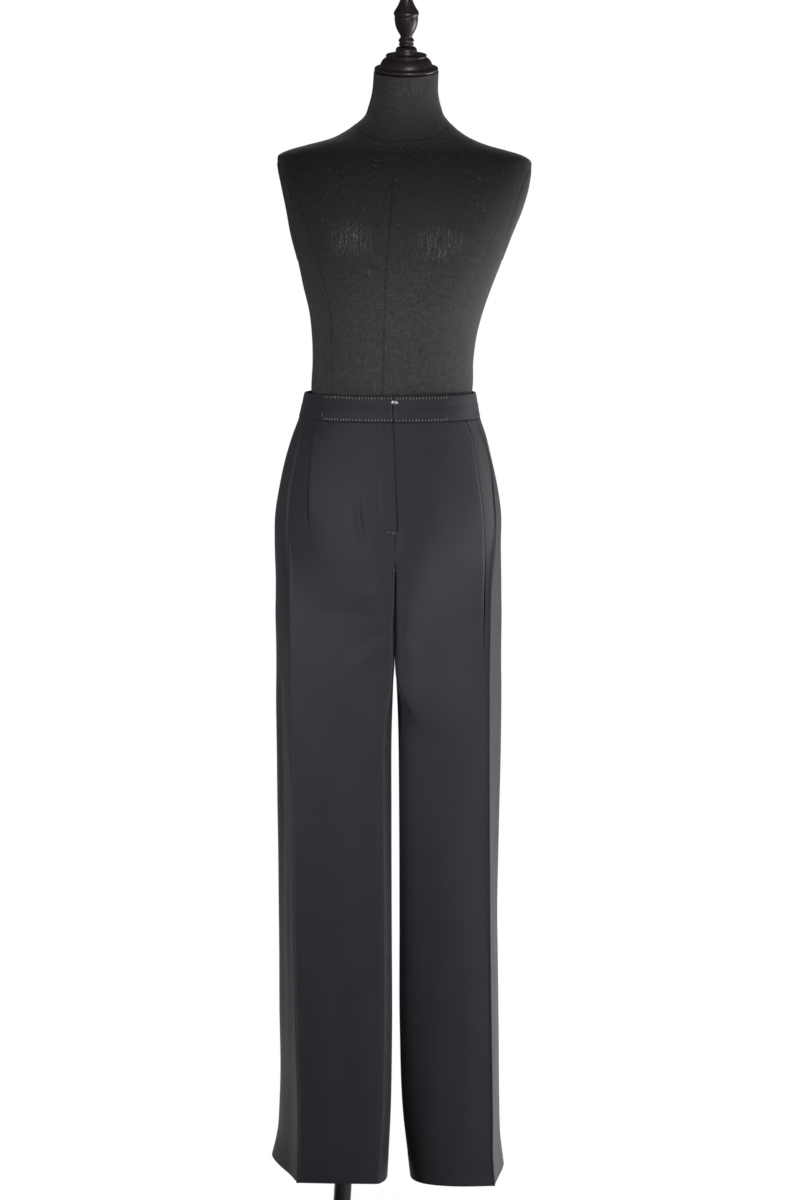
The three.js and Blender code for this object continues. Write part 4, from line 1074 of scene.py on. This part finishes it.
def stitch_row(centres, along_row, facing, length, radius, rise):
    """Short arched threads: five rings of six points each, carried along each stitch, raised
    along a half cosine so that both ends dive into the cloth."""
    count = len(centres)
    t = np.linspace(-0.5, 0.5, 5)
    angle = np.linspace(0, 2 * np.pi, 6, endpoint=False)
    across = unit(np.cross(along_row, facing))
    arch = rise * np.cos(np.pi * t) - 0.04
    girth = radius * np.array((0.55, 0.95, 1.0, 0.95, 0.55))
    centres, along_row, facing, across = (
        vector[:, None] for vector in (centres, along_row, facing, across)
    )
    spine = centres + along_row * (t * length)[:, None] + facing * arch[:, None]
    ring = across * np.cos(angle)[:, None] + facing * np.sin(angle)[:, None]
    points = spine[:, :, None] + ring[:, None] * girth[:, None, None]
    number = np.arange(30).reshape(5, 6)
    closed = np.concatenate((number, number[:, :1]), axis=1)
    faces = [strip_quads(closed[k], closed[k + 1]) for k in range(4)]
    faces.append(np.array([[0, 1, 2, 3], [0, 3, 4, 5], [27, 26, 25, 24], [29, 28, 27, 24]]))
    quads = np.concatenate(faces)
    quads = (quads[None] + 30 * np.arange(count)[:, None, None]).reshape(-1, 4)
    return points.reshape(-1, 3), quads


def join_runs(runs):
    """One set of points and faces from several."""
    first = np.cumsum([0] + [len(points) for points, _ in runs[:-1]])
    points = np.concatenate([points for points, _ in runs])
    return points, np.concatenate([quads + k for (_, quads), k in zip(runs, first)])


def band_threads(lengths, heights, slants, long, radius):
    """Threads on the band's face at lengths round it and at heights, leaning by slants."""
    points, facing = on_loop(waist_loop(heights), lengths[:, None])
    points, facing = points[:, 0], facing[:, 0]
    centres = points + facing * (BAND_STAND + 0.40)
    across = plan(-facing[:, 1], facing[:, 0], 0 * heights)
    upright = unit(across * slants[:, None] + np.array([0.0, 0.0, 1.0]))
    return stitch_row(
        plan(centres[:, 0], centres[:, 1], heights), upright,
        plan(facing[:, 0], facing[:, 1], 0 * heights), long, radius, THREAD_RISE,
    )


def band_stitches(start_at, end_at, towards_seam):
    """Topstitching of a front stretch of band: a row of upright threads along each edge, a
    column beside the opening, and one long slanted thread at the seam."""
    height = WAIST_TOP_Z - WAIST_SEAM_Z
    runs = []
    for share, lean in zip(STITCH_SHARES, STITCH_LEANS):
        z = WAIST_SEAM_Z + height * share
        loop = waist_loop(np.array([z]))
        places = np.arange(start_at(loop)[0] + 2.0, end_at(loop)[0] - 1.4, STITCH_MM)
        uneven = np.sin(places / 3.1) + 0.7 * np.sin(places / 1.37)
        runs.append(band_threads(
            places + 0.22 * uneven, z + 0.22 * uneven, lean + 0.12 * uneven,
            THREAD_MM, THREAD_RADIUS,
        ))
    z = np.arange(WAIST_SEAM_Z + 5.0, WAIST_TOP_Z - 8.0, 3.6)
    beside = OPENING + towards_seam * 3.0
    runs.append(band_threads(
        np.full(len(z), beside) + 0.2 * np.sin(z), z, 0.15 + 0.1 * np.sin(z / 2), 2.0, 0.13
    ))
    if towards_seam > 0:
        long = np.array([1.0]), np.array([WAIST_SEAM_Z + 6.5]), np.array([-0.28])
        end = end_at(waist_loop(long[1]))[0]
        runs.append(band_threads(end - long[0], long[1], long[2], 7.0, 0.34))
    return runs


# -------- Fly

FLY_BOTTOM_Z, FLY_CURVE, FLY_WIDTH = 1076.0, 38.0, 26.0
# Distance of the fly's free edge from the centre plane, positive to the left
FLY_EDGE_TOP, FLY_EDGE_BOTTOM = -2.3, 3.8
FLY_STITCH_INSET, FLY_STITCH_MM = 3.2, 1.8
# The fly's curved edge lies its width to the right of this distance from the centre plane
FLY_LINE_AT = -0.5


def front_depth(across, z):
    """y of the front at distances from the centre plane, positive to the left, one height a
    row: the front run's points are read by their distance out."""
    depth = np.empty(across.shape)
    for leg, mine in ((RIGHT, across < 0), (LEFT, across >= 0)):
        run = leg_curves(leg, z)[1][:, ::-1]
        shift = np.arange(len(z))[:, None] * 400.0
        out = np.clip(np.abs(across), HALF_SEAM, 90.0)
        known = (np.maximum.accumulate(run[..., 0], axis=1) + shift).ravel()
        read = np.interp((out + shift).ravel(), known, run[..., 1].ravel()).reshape(out.shape)
        depth = np.where(mine, read, depth)
    return depth


def fly_edge(z):
    """Place of the fly's free edge from the centre plane, along a straight line in height."""
    return mix(FLY_EDGE_TOP, FLY_EDGE_BOTTOM, (WAIST_SEAM_Z - z) / (WAIST_SEAM_Z - FLY_BOTTOM_Z))


def fly_piece(material):
    """The fly's layer: it rises out of the right front at the curve of its stitching, and its
    free edge lies over the left front. Its top is gathered a little under the band."""
    fall = 1 - (1 - np.linspace(0, 1, 84)) ** 1.5
    z = mix(WAIST_SEAM_Z - 0.2, FLY_BOTTOM_Z, fall)
    curve = np.clip((z - FLY_BOTTOM_Z) / FLY_CURVE, 0, 1)
    width = FLY_WIDTH * np.sqrt(1 - (1 - curve) ** 2) + 0.4
    across = mix(FLY_LINE_AT - width[:, None], fly_edge(z)[:, None], crowded(40, 0.7)[None])
    level = z[:, None]
    low = np.clip((level - FLY_BOTTOM_Z) / 6, 0, 1)
    from_curve = across - FLY_LINE_AT + width[:, None]
    from_line = np.minimum(from_curve, (level - FLY_BOTTOM_Z) * 1.2)
    from_edge = fly_edge(level) - across
    stand = -0.5 + 0.95 * smooth_step(0, 12.0, from_line) + 0.35 * smooth_step(6, 26, from_line)
    stand = stand - 0.12 * bell(from_line - FLY_STITCH_INSET, 0.8)
    stand = stand + 0.25 * np.exp(-from_edge / 3.5) * low
    stand = stand - 0.9 * bell(from_edge, 0.5)
    gather = np.exp(-(WAIST_SEAM_Z - level) / 20.0) * smooth_step(0, 3, WAIST_SEAM_Z - level)
    stand = stand + gather * (
        0.60 * np.sin(across * 0.85 + 0.5) + 0.30 * np.sin(across * 1.45 + level / 9)
    )
    stand = stand + 0.30 * np.sin(level / 17.0 + across / 9.0) * low
    y = front_depth(across, z)
    height = np.broadcast_to(level, across.shape)
    outer = plan(CENTRE_X + across, y - stand - 0.25, height)
    inner = plan(CENTRE_X + across, y + 0.95 - 0.6 * smooth_step(-1, 4, across), height)
    points, quads = wall(outer, inner)
    uv = np.tile(plan(across, height).reshape(-1, 2) * MM, (2, 1))
    return new_piece("fly_front", points, quads, material, uv=uv)


def threads_on_front(across, z, above, along_row, radius, rise):
    """Threads above the front by a distance, at distances from the centre plane and heights.
    Without a direction of their own they follow the line of their middles."""
    centres = plan(CENTRE_X + across, front_depth(across[:, None], z)[:, 0] - above, z)
    if along_row is None:
        along_row = unit(np.gradient(centres, axis=0))
    facing = np.tile([0.0, -1.0, 0.0], (len(centres), 1))
    return stitch_row(centres, along_row, facing, FLY_STITCH_MM, radius, rise)


def fly_line_stitches(pitch):
    """Threads down the J of the fly, then a short dense bar at its foot."""
    inset = FLY_WIDTH - FLY_STITCH_INSET
    straight = np.arange(WAIST_SEAM_Z - 3, FLY_BOTTOM_Z + FLY_CURVE, -pitch)
    turn = np.arange(0, np.pi / 2 - 0.12, pitch / (FLY_CURVE - FLY_STITCH_INSET))
    across = FLY_LINE_AT - inset * np.concatenate((np.ones(len(straight)), np.cos(turn)))
    drop = (FLY_CURVE - FLY_STITCH_INSET) * np.sin(turn)
    z = np.concatenate((straight, FLY_BOTTOM_Z + FLY_CURVE - drop))
    line = threads_on_front(across, z, 0.42, None, 0.11, 0.12)
    bar = np.linspace(-9.5, 1.2, 13)
    z = FLY_BOTTOM_Z + 0.2 + 0.015 * (bar - 0.5) ** 2
    upright = np.tile([0.25, 0.0, 0.97], (len(bar), 1))
    return line, threads_on_front(bar, z, 0.45, upright, 0.18, 0.2)


# -------- Hook and bar

HOOK_Z, BAR_Z = 1250.6, 1249.4


def bent_strip(path, middle, half_height, thickness, ridges):
    """A strip of metal: a rounded rectangular section carried along a path in plan, narrowed
    round its free end. Two pressed ridges run along its face."""
    path = np.asarray(path, float)
    t = np.linspace(0, len(path) - 1, 8 * (len(path) - 1) + 1)
    spine = np.stack([np.interp(t, np.arange(len(path)), path[:, k]) for k in range(2)], axis=1)
    for _ in range(6):
        spine[1:-1] = (spine[:-2] + 2 * spine[1:-1] + spine[2:]) / 4
    tangent = unit(np.gradient(spine, axis=0))
    across = plan(-tangent[:, 1], tangent[:, 0])
    angle = np.linspace(0, 2 * np.pi, 48, endpoint=False)
    wide, deep = signed_power(np.sin(angle), 0.8), signed_power(np.cos(angle), 0.45)
    deep = deep * (1 - ridges * np.cos(2 * np.pi * wide))
    near_end = np.minimum(np.arange(len(spine)), np.arange(len(spine))[::-1]) / 4.0
    narrow = np.sqrt(1 - (1 - np.clip(near_end, 0.08, 1)) ** 2)
    flat = spine[:, None] + across[:, None] * (deep * thickness / 2)[None, :, None]
    height = middle + wide[None] * half_height * narrow[:, None]
    return rings(plan(CENTRE_X + flat[..., 0], flat[..., 1], height))


# -------- Dress form

# height, x of the centre front seam, of the right princess seam
FORM_SEAM_ROWS = (
    (1024, 62.0, -2.0), (1273, 65.0, -3.2), (1307, 66.2, -4.0), (1384, 67.5, -7.6),
    (1428, 69.5, -19.0), (1496, 75.0, -39.8), (1540, 78.4, -56.0), (1562, 80.0, -62.0),
    (1580, 82.0, -36.0), (1601, 84.0, 36.0), (1620, 86.0, 55.0), (1691, 92.0, 72.0),
)
SEAM_MM, SEAM_HALF_WIDTH = 0.7, 0.85
NECK_SEAM_Z = 1597
# Arm plate: height and y of its middle, half height, half length and how far it stands out
PLATE_Z, PLATE_Y, PLATE_HIGH, PLATE_LONG, PLATE_STAND = 1503, 2, 68, 50, 0.5
# How plainly each seam shows, and the heights over which it fades, from the left side round by
# the front to the right side and on round the back
SEAM_SHOWN = (1.0, 0.35, 0.8, 0.8, 1.0, 0.6, 1.0, 0.6)
SEAM_ENDS = (
    (1695, 1700), (1590, 1604), (1535, 1570), (1590, 1604),
    (1695, 1700), (1590, 1604), (1695, 1700), (1590, 1604),
)


def torso_grid():
    """Rings of the form: a superellipse at each height about the leaning axis, its columns
    drawn to the seams, with the seams let in and the arm plates raised. Also gives how far
    each point is let in."""
    z = np.concatenate((
        np.linspace(FORM_FOOT_Z, 1228, 22)[:-1], np.linspace(1228, 1568, 130)[:-1],
        np.linspace(1568, NECK_TILT_FROM, 62)[:-1], np.linspace(NECK_TILT_FROM, NECK_TOP_Z, 26),
    ))
    shift, half_width, front, back, square = (c[:, None] for c in read_rows(TORSO_ROWS, z).T)
    middle = LEAN * z[:, None] + shift
    seams = read_rows(FORM_SEAM_ROWS, z)
    centre_front, right_seam = (seams[:, k : k + 1] for k in range(2))

    def turn_at(x):
        """Angle at which the section is at x: the superellipse turned about."""
        ratio = np.clip((x - middle) / half_width, -0.98, 0.98)
        return np.arccos(signed_power(ratio, square / 2))

    def section(angle):
        """Point of the superellipse at an angle: its cosine and sine to a power, times the
        half width and the reach."""
        sine = np.sin(angle)
        reach = np.where(sine < 0, front, back)
        x = signed_power(np.cos(angle), 2 / square) * half_width
        return x, signed_power(sine, 2 / square) * reach

    right, centre = turn_at(right_seam), turn_at(centre_front)
    left = turn_at(2 * middle - right_seam)
    none = 0 * middle
    keys = [
        none, -left, -centre, -right, none - np.pi,
        right - 2 * np.pi, none - 1.5 * np.pi, left - 2 * np.pi, none - 2 * np.pi,
    ]
    spread = crowded(23, 0.85)[None, :-1]
    angle = np.concatenate([mix(a, b, spread) for a, b in zip(keys[:-1], keys[1:])], axis=1)
    x, y = section(angle)

    level = z[:, None]
    let_in = np.zeros(angle.shape)
    for key, shown, ends in zip(keys, SEAM_SHOWN, SEAM_ENDS):
        key_x, key_y = section(key)
        away = np.hypot(x - key_x, y - key_y)
        shown = shown * (1 - smooth_step(*ends, level))
        let_in = let_in + shown * bell(away, SEAM_HALF_WIDTH)
    sideways, sine = np.abs(np.cos(angle)), np.sin(angle)
    neck_seam = NECK_SEAM_Z + 26 * sideways**2 + np.where(sine > 0, 14 * sine**2, 0)
    let_in = let_in + bell(level - neck_seam, 0.8)
    plate = np.hypot((level - PLATE_Z) / PLATE_HIGH, (y - PLATE_Y) / PLATE_LONG)
    side = smooth_step(0.35, 0.6, sideways)
    let_in = let_in + side * bell(plate - 1, 0.02)
    raised = side * PLATE_STAND * (1 - smooth_step(0.97, 1.0, plate))
    let_in = np.clip(let_in, 0, 1.2)
    lift = raised - SEAM_MM * let_in
    size = np.hypot(x, y)
    x, y = x * (1 + lift / size), y * (1 + lift / size)

    tilt = np.clip((level - NECK_TILT_FROM) / (NECK_TOP_Z - NECK_TILT_FROM), 0, 1)
    height = level + y * tilt * np.tan(NECK_TILT)
    return plan(middle + x, y, height), let_in


def on_neck(grid, foot):
    """Stands a turned piece on the neck's tilted top: turned about x, then moved there."""
    sine, cosine = np.sin(NECK_TILT), np.cos(NECK_TILT)
    x, y, z = grid[..., 0], grid[..., 1], grid[..., 2] + foot
    top_x = LEAN * NECK_TOP_Z + TORSO_ROWS[-1][1]
    return plan(top_x + x, y * cosine - z * sine, NECK_TOP_Z + y * sine + z * cosine)


def leaning(grid):
    """Moves flat rings sideways so that their middles follow the leaning axis."""
    return plan(grid[..., 0] + LEAN * grid[..., 2], grid[..., 1], grid[..., 2])


# Sizes and colours that a user may change


def colour_property(name, description, default):
    """A colour that a user may change, as three parts from 0 to 1."""
    return FloatVectorProperty(
        name=name, description=description, default=default, size=3, subtype="COLOR", min=0, max=1
    )


def number_property(name, description, default, low, high, unit="NONE"):
    """A number that a user may change between two limits."""
    return FloatProperty(
        name=name, description=description, default=default, min=low, max=high, unit=unit
    )


def power_property(name, description, default):
    """A light's power in watts, from none to 2000."""
    return number_property(name, description, default, 0, 2000, "POWER")


class TrouserLooks(PropertyGroup):
    """Colours of the cloth, the thread, the form and the stand."""

    cloth: colour_property("Cloth", "Colour of the charcoal crepe", (0.036, 0.034, 0.043))
    thread: colour_property("Topstitching", "Colour of the topstitching", (0.28, 0.275, 0.28))
    dark_thread: colour_property("Seam thread", "Colour of the plain thread", (0.03, 0.028, 0.034))
    form: colour_property("Form cover", "Colour of the form's woven cover", (0.031, 0.028, 0.03))
    scuff: colour_property("Scuffs", "Colour of worn threads", (0.26, 0.245, 0.235))
    wood: colour_property("Turned wood", "Colour of the polished wood", (0.028, 0.021, 0.02))
    worn_wood: colour_property("Worn wood", "Colour where polish is thin", (0.075, 0.035, 0.02))
    stand: colour_property("Stand", "Colour of the stand's enamel", (0.016, 0.0155, 0.017))
    nickel: colour_property("Hook", "Colour of the hook's plating", (0.68, 0.67, 0.66))


class TrouserSizes(PropertyGroup):
    """Sizes of the stitching and the stand."""

    stitch_pitch: number_property(
        "Stitch pitch", "Distance from stitch to stitch", 0.0024, 0.001, 0.01, "LENGTH"
    )
    pole_radius: number_property(
        "Pole radius", "Half the width of the pole", 0.0125, 0.005, 0.03, "LENGTH"
    )
    base_radius: number_property(
        "Base radius", "Half the width of the base plate", 0.170, 0.08, 0.3, "LENGTH"
    )


class StudioSettings(PropertyGroup):
    """Light and camera of the studio."""

    lens: number_property("Lens", "Focal length of the camera on a 36 mm frame", 82.2, 20, 300)
    key_power: power_property(
        "Key light", "Power of the soft light in front, to the body's left", 0.6
    )
    low_power: power_property(
        "Low light", "Power of the light on the legs, to the body's left", 3.75
    )
    fill_power: power_property(
        "Fill light", "Power of the weak light in front, to the body's right", 0.8
    )
    side_power: power_property(
        "Side light", "Power of the light that grazes the body's left side", 31.0
    )
    surround: number_property(
        "Surround", "Brightness of the pale room round the object", 0.27, 0, 5
    )
    floor_glow: number_property(
        "Floor glow", "Light given by the floor behind the form", 1.0, 0, 5
    )


# Gap between neighbouring stretches of the band, and the level that the pole and its collar
# stand at
SEAM_GAP = 0.12
BASE_TOP_Z = 10.3

FINISHES = {
    "cloth": cloth_material,
    "form": form_cover_material,
    "wood": wood_material,
    "stand": stand_material,
    "hook": hook_material,
    "thread": lambda looks: thread_material("pale_topstitch_thread", looks.thread),
    "dark_thread": lambda looks: thread_material("dark_seam_thread", looks.dark_thread),
}
MATERIALS = {}


def finish_of(name):
    """The named finish, made the first time that it is asked for."""
    if name not in MATERIALS:
        MATERIALS[name] = FINISHES[name](bpy.context.scene.trouser_looks)
    return MATERIALS[name]


def keep(piece, slot, *nodes):
    """Hides the imported solids that a piece stands for. The piece and its slot are not used."""
    if nodes:
        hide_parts(*nodes)


class TROUSERS_OT_leg_panels(Operator):
    """Build the two front panels and the two back panels"""

    bl_idname = "trousers.leg_panels"
    bl_label = "Leg panels"

    def execute(self, context):
        cloth = finish_of("cloth")
        keep(front_panel(RIGHT, RIGHT_FRONT_FOLDS, cloth), "cloth", "front_leg_right")
        keep(front_panel(LEFT, LEFT_FRONT_FOLDS, cloth), "cloth", "front_leg_left")
        keep(back_panel(RIGHT, RIGHT_BACK_FOLDS, cloth), "cloth", "back_leg_right")
        keep(back_panel(LEFT, LEFT_BACK_FOLDS, cloth), "cloth", "back_leg_left")
        return {"FINISHED"}


class TROUSERS_OT_waistband(Operator):
    """Build the three stretches of waistband and their topstitching"""

    bl_idname = "trousers.waistband"
    bl_label = "Waistband"

    def execute(self, context):
        cloth, half = finish_of("cloth"), SEAM_GAP / 2

        # Lengths round the band's loop from centre front: to the right above zero, and for
        # the left below zero, or counted on round the back

        def opening(loop):
            return np.full(len(loop), OPENING)

        def right_seam(loop):
            return length_at_out(loop, BAND_SEAM_RIGHT, 1)

        def left_seam(loop):
            return -length_at_out(loop, BAND_SEAM_LEFT, -1)

        def whole(loop):
            return lengths_of(loop)[:, -1]

        def round_to_left(loop):
            return whole(loop) + left_seam(loop)

        for part, start, end, steps, ragged in (
            ("front_right", opening, right_seam, 150, -1),
            ("front_left", left_seam, opening, 120, 1),
            ("back", right_seam, round_to_left, 260, 0),
        ):
            piece = band_piece(
                f"band_{part}", lambda p: start(p) + half, lambda p: end(p) - half,
                steps, ragged, cloth,
            )
            keep(piece, "cloth", f"waistband_{part}")
        right = band_stitches(opening, right_seam, 1)
        left = band_stitches(left_seam, opening, -1)
        thread = finish_of("thread")
        for side, runs in (("right", right), ("left", left)):
            keep(new_piece(f"band_topstitch_{side}", *join_runs(runs), thread), "cloth")
        return {"FINISHED"}


class TROUSERS_OT_fly(Operator):
    """Build the fly's layer, its stitching and its foot bar"""

    bl_idname = "trousers.fly"
    bl_label = "Fly"

    def execute(self, context):
        keep(fly_piece(finish_of("cloth")), "cloth", "fly_placket")
        pitch = context.scene.trouser_sizes.stitch_pitch / MM
        line, bar = fly_line_stitches(pitch)
        keep(new_piece("fly_stitching", *line, finish_of("dark_thread")), "cloth")
        keep(new_piece("fly_foot_bar", *bar, finish_of("thread")), "cloth")
        return {"FINISHED"}


class TROUSERS_OT_hook(Operator):
    """Build the waist hook and the bar that it closes on"""

    bl_idname = "trousers.hook"
    bl_label = "Hook and bar"

    def execute(self, context):
        nickel = finish_of("hook")
        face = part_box("waist_hook")[0][1] / MM
        hook = ((-4.2, face + 1.5), (-2.0, face + 0.9), (1.0, face + 0.5), (2.9, face + 0.55),
                (3.2, face + 1.0), (2.4, face + 1.35), (0.2, face + 1.45))
        keep(new_piece("hook_tongue", *bent_strip(hook, HOOK_Z, 2.5, 0.8, 0.5), nickel),
             "hook_metal", "waist_hook")
        bar = ((-3.6, face + 2.1), (0.2, face + 2.0), (1.0, face + 1.7), (2.6, face + 1.7),
               (3.4, face + 2.0), (4.6, face + 2.1))
        keep(new_piece("hook_bar", *bent_strip(bar, BAR_Z, 1.0, 0.5, 0.0), nickel),
             "hook_metal", "waist_bar")
        return {"FINISHED"}


class TROUSERS_OT_form(Operator):
    """Build the dress form, its turned cap and its finial"""

    bl_idname = "trousers.form"
    bl_label = "Dress form"

    def execute(self, context):
        grid, let_in = torso_grid()
        seams = np.append(let_in.ravel(), (0.0, 0.0))
        keep(new_piece("form_body", *rings(grid), finish_of("form"), uv=plan(seams, 0 * seams)),
             "form_cover", "torso_form")
        wood = finish_of("wood")
        for name, node, profile, columns, foot in (
            ("turned_cap", "neck_cap", NECK_CAP_PROFILE, 112, 0.35),
            ("turned_finial", "finial", FINIAL_PROFILE, 80, 33.85),
        ):
            grid = on_neck(turned_grid(rounded_profile(profile)[1:-1], columns), foot)
            keep(new_piece(name, *rings(grid), wood), "turned_wood", node)
        return {"FINISHED"}


class TROUSERS_OT_stand(Operator):
    """Build the pole, its collar and the base plate"""

    bl_idname = "trousers.stand"
    bl_label = "Stand"

    def execute(self, context):
        sizes = context.scene.trouser_sizes
        enamel = finish_of("stand")
        radius, base = sizes.pole_radius / MM, sizes.base_radius / MM
        levels = np.linspace(BASE_TOP_Z, 1023.7, 60)
        pole = plan(np.full(len(levels), radius), levels)
        keep(new_piece("pole_tube", *rings(leaning(turned_grid(pole, 64))), enamel),
             "stand_metal", "pole")
        bore = radius + 0.2
        collar = rounded_profile((
            (bore, BASE_TOP_Z), (27, BASE_TOP_Z), (27, 40), (20, 54), (18, 56), (bore, 56),
        ))
        collar = rings(leaning(turned_grid(collar, 96)), joined=True)
        keep(new_piece("base_collar", *collar, enamel), "stand_metal", "base_hub")
        rim = rounded_profile((
            (2, 0), (base - 1, 0), (base, 1), (base, 7),
            (base - 0.9, 9.1), (base - 3, 10), (2, 10),
        ))
        keep(new_piece("base_disc", *rings(turned_grid(rim[1:-1], 160)), enamel),
             "stand_metal", "base_plate")
        return {"FINISHED"}


# Name, place, target, size in metres, power setting and beam in degrees of each light
LIGHTS = (
    ("key_light", (0.5, -1.7, 1.8), (0.07, 0.0, 1.56), (0.4, 0.4), "key_power", 32),
    ("low_light", (1.4, -1.15, 0.3), (0.12, 0.0, 0.4), (0.5, 0.9), "low_power", 70),
    ("fill_light", (-0.75, -1.3, 1.1), (0.0, 0.0, 0.98), (0.4, 0.4), "fill_power", 45),
    ("side_light", (2.1, 0.60, 0.7), (0.10, 0.0, 0.75), (0.9, 1.3), "side_power", 180),
)
CAMERA_PLACE, CAMERA_DOWN = (0.0822, -3.765, 1.499), 8
WHITE = (1.0, 1.0, 1.0, 1.0)
# The floor's half width, and its level just under the base plate's underside
FLOOR_REACH, FLOOR_LEVEL = 9.0, -0.0003


class TROUSERS_OT_studio(Operator):
    """Build the pale floor, the lights and the camera"""

    bl_idname = "trousers.studio"
    bl_label = "Studio"

    def execute(self, context):
        scene, studio = context.scene, context.scene.trouser_studio
        build_floor(studio.floor_glow)
        scene.world = build_surround(studio.surround)
        for name, place, target, size, power, beam in LIGHTS:
            add_light(name, place, target, size, getattr(studio, power), beam)
        lens = bpy.data.cameras.new("camera")
        lens.sensor_fit = "VERTICAL"
        lens.sensor_height, lens.sensor_width = 36.0, 24.0
        lens.lens = studio.lens
        lens.clip_end = 60
        camera = stand_in_scene("camera", lens)
        camera.location = CAMERA_PLACE
        camera.rotation_euler = (math.radians(90 - CAMERA_DOWN), 0, 0)
        scene.camera = camera
        scene.view_settings.view_transform = "Standard"
        return {"FINISHED"}


def stand_in_scene(name, data):
    """A new object of the studio, which is no piece of the part."""
    thing = bpy.data.objects.new(name, data)
    bpy.context.scene.collection.objects.link(thing)
    return thing


def build_floor(glow):
    """A wide pale floor, level with the base plate's underside. A widening strip of it behind
    the form glows, as a backdrop does that has its own lights. To look at, it is as white as
    the room, with a painted shadow that makes it a little darker where something stands close over
    it."""
    n = MaterialNodes("pale_floor")
    base = n.colour_mix(n.noise(3.0, 2.0, 0.5), (0.86, 0.86, 0.86, 1), (0.90, 0.90, 0.90, 1))
    x, y, _ = n.parts(n.place)
    away = n.maths("ABSOLUTE", n.less(x, 0.08))
    in_strip = n.between(n.less(away, n.times(y, 0.16)), 1.1, 0.72)
    behind = n.times(n.between(y, 0.08, 0.27), in_strip)
    material = n.set(
        Base_Color=base, Roughness=0.6, Specular_IOR_Level=0.2,
        Emission_Strength=n.times(behind, glow), Emission_Color=WHITE,
    )
    # Painted shadow: to the camera the floor's brightness follows ambient occlusion, so it is
    # darker close under the object
    open_above = n.add("ShaderNodeAmbientOcclusion", {"Distance": 0.35}).outputs["AO"]
    seen = n.add("ShaderNodeEmission", {"Strength": n.between(open_above, -0.6, 0.9)})
    n.join(n.output.inputs["Surface"], n.seen_or_given(seen, n.shader))
    mesh = bpy.data.meshes.new("floor")
    corners = ((-1, -1), (1, -1), (1, 1), (-1, 1))
    points = [(x * FLOOR_REACH, y * FLOOR_REACH, FLOOR_LEVEL) for x, y in corners]
    mesh.from_pydata(points, [], [(0, 1, 2, 3)])
    mesh.materials.append(material)
    stand_in_scene("floor", mesh)


def build_surround(brightness):
    """The room: white to look at, brighter towards the ground for the light that it gives."""
    world = bpy.data.worlds.new("pale_room")
    world.use_nodes = True
    n = Nodes(world.node_tree)
    up = n.parts(n.add("ShaderNodeTexCoord").outputs["Generated"])[2]
    strength = n.times(n.between(up, -0.3, 0.5, 1.0, 0.18), brightness)
    given = n.add("ShaderNodeBackground", {"Strength": strength})
    seen = n.add("ShaderNodeBackground", {"Color": WHITE})
    n.add("ShaderNodeOutputWorld", {0: n.seen_or_given(seen, given)})
    return world


def add_light(name, place, target, size, power, beam):
    """A soft rectangular light turned towards a target, with the width of its beam in degrees."""
    data = bpy.data.lights.new(name, "AREA")
    data.shape = "RECTANGLE"
    data.size, data.size_y = size
    data.energy = power
    data.spread = math.radians(beam)
    x, y, z = np.subtract(target, place)
    lamp = stand_in_scene(name, data)
    lamp.location = place
    lamp.rotation_euler = (
        math.atan2(math.hypot(x, y), -z), 0, math.atan2(y, x) - math.pi / 2
    )


class TROUSERS_PT_panel(Panel):
    """Lists the pieces and their settings"""

    bl_label = "Palazzo trousers"
    bl_idname = "TROUSERS_PT_panel"
    bl_space_type = "VIEW_3D"
    bl_region_type = "UI"
    bl_category = "Trousers"

    def draw(self, context):
        for operator in OPERATORS:
            self.layout.operator(operator.bl_idname)
        for name in GROUPS:
            group = getattr(context.scene, name)
            box = self.layout.box()
            for key in group.__annotations__:
                box.prop(group, key)


OPERATORS = (
    TROUSERS_OT_leg_panels,
    TROUSERS_OT_waistband,
    TROUSERS_OT_fly,
    TROUSERS_OT_hook,
    TROUSERS_OT_form,
    TROUSERS_OT_stand,
    TROUSERS_OT_studio,
)
GROUPS = {
    "trouser_looks": TrouserLooks,
    "trouser_sizes": TrouserSizes,
    "trouser_studio": StudioSettings,
}


def register():
    """Makes the settings, the operators and the panel known to Blender."""
    for name, group in GROUPS.items():
        bpy.utils.register_class(group)
        setattr(bpy.types.Scene, name, PointerProperty(type=group))
    for shown in (*OPERATORS, TROUSERS_PT_panel):
        bpy.utils.register_class(shown)


def unregister():
    """Takes the panel, the operators and the settings away again."""
    for shown in (TROUSERS_PT_panel, *reversed(OPERATORS)):
        bpy.utils.unregister_class(shown)
    for name, group in GROUPS.items():
        delattr(bpy.types.Scene, name)
        bpy.utils.unregister_class(group)


def main():
    """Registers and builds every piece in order."""
    register()
    bpy.ops.trousers.leg_panels()
    bpy.ops.trousers.waistband()
    bpy.ops.trousers.fly()
    bpy.ops.trousers.hook()
    bpy.ops.trousers.form()
    bpy.ops.trousers.stand()
    bpy.ops.trousers.studio()


if __name__ == "__main__":
    main()
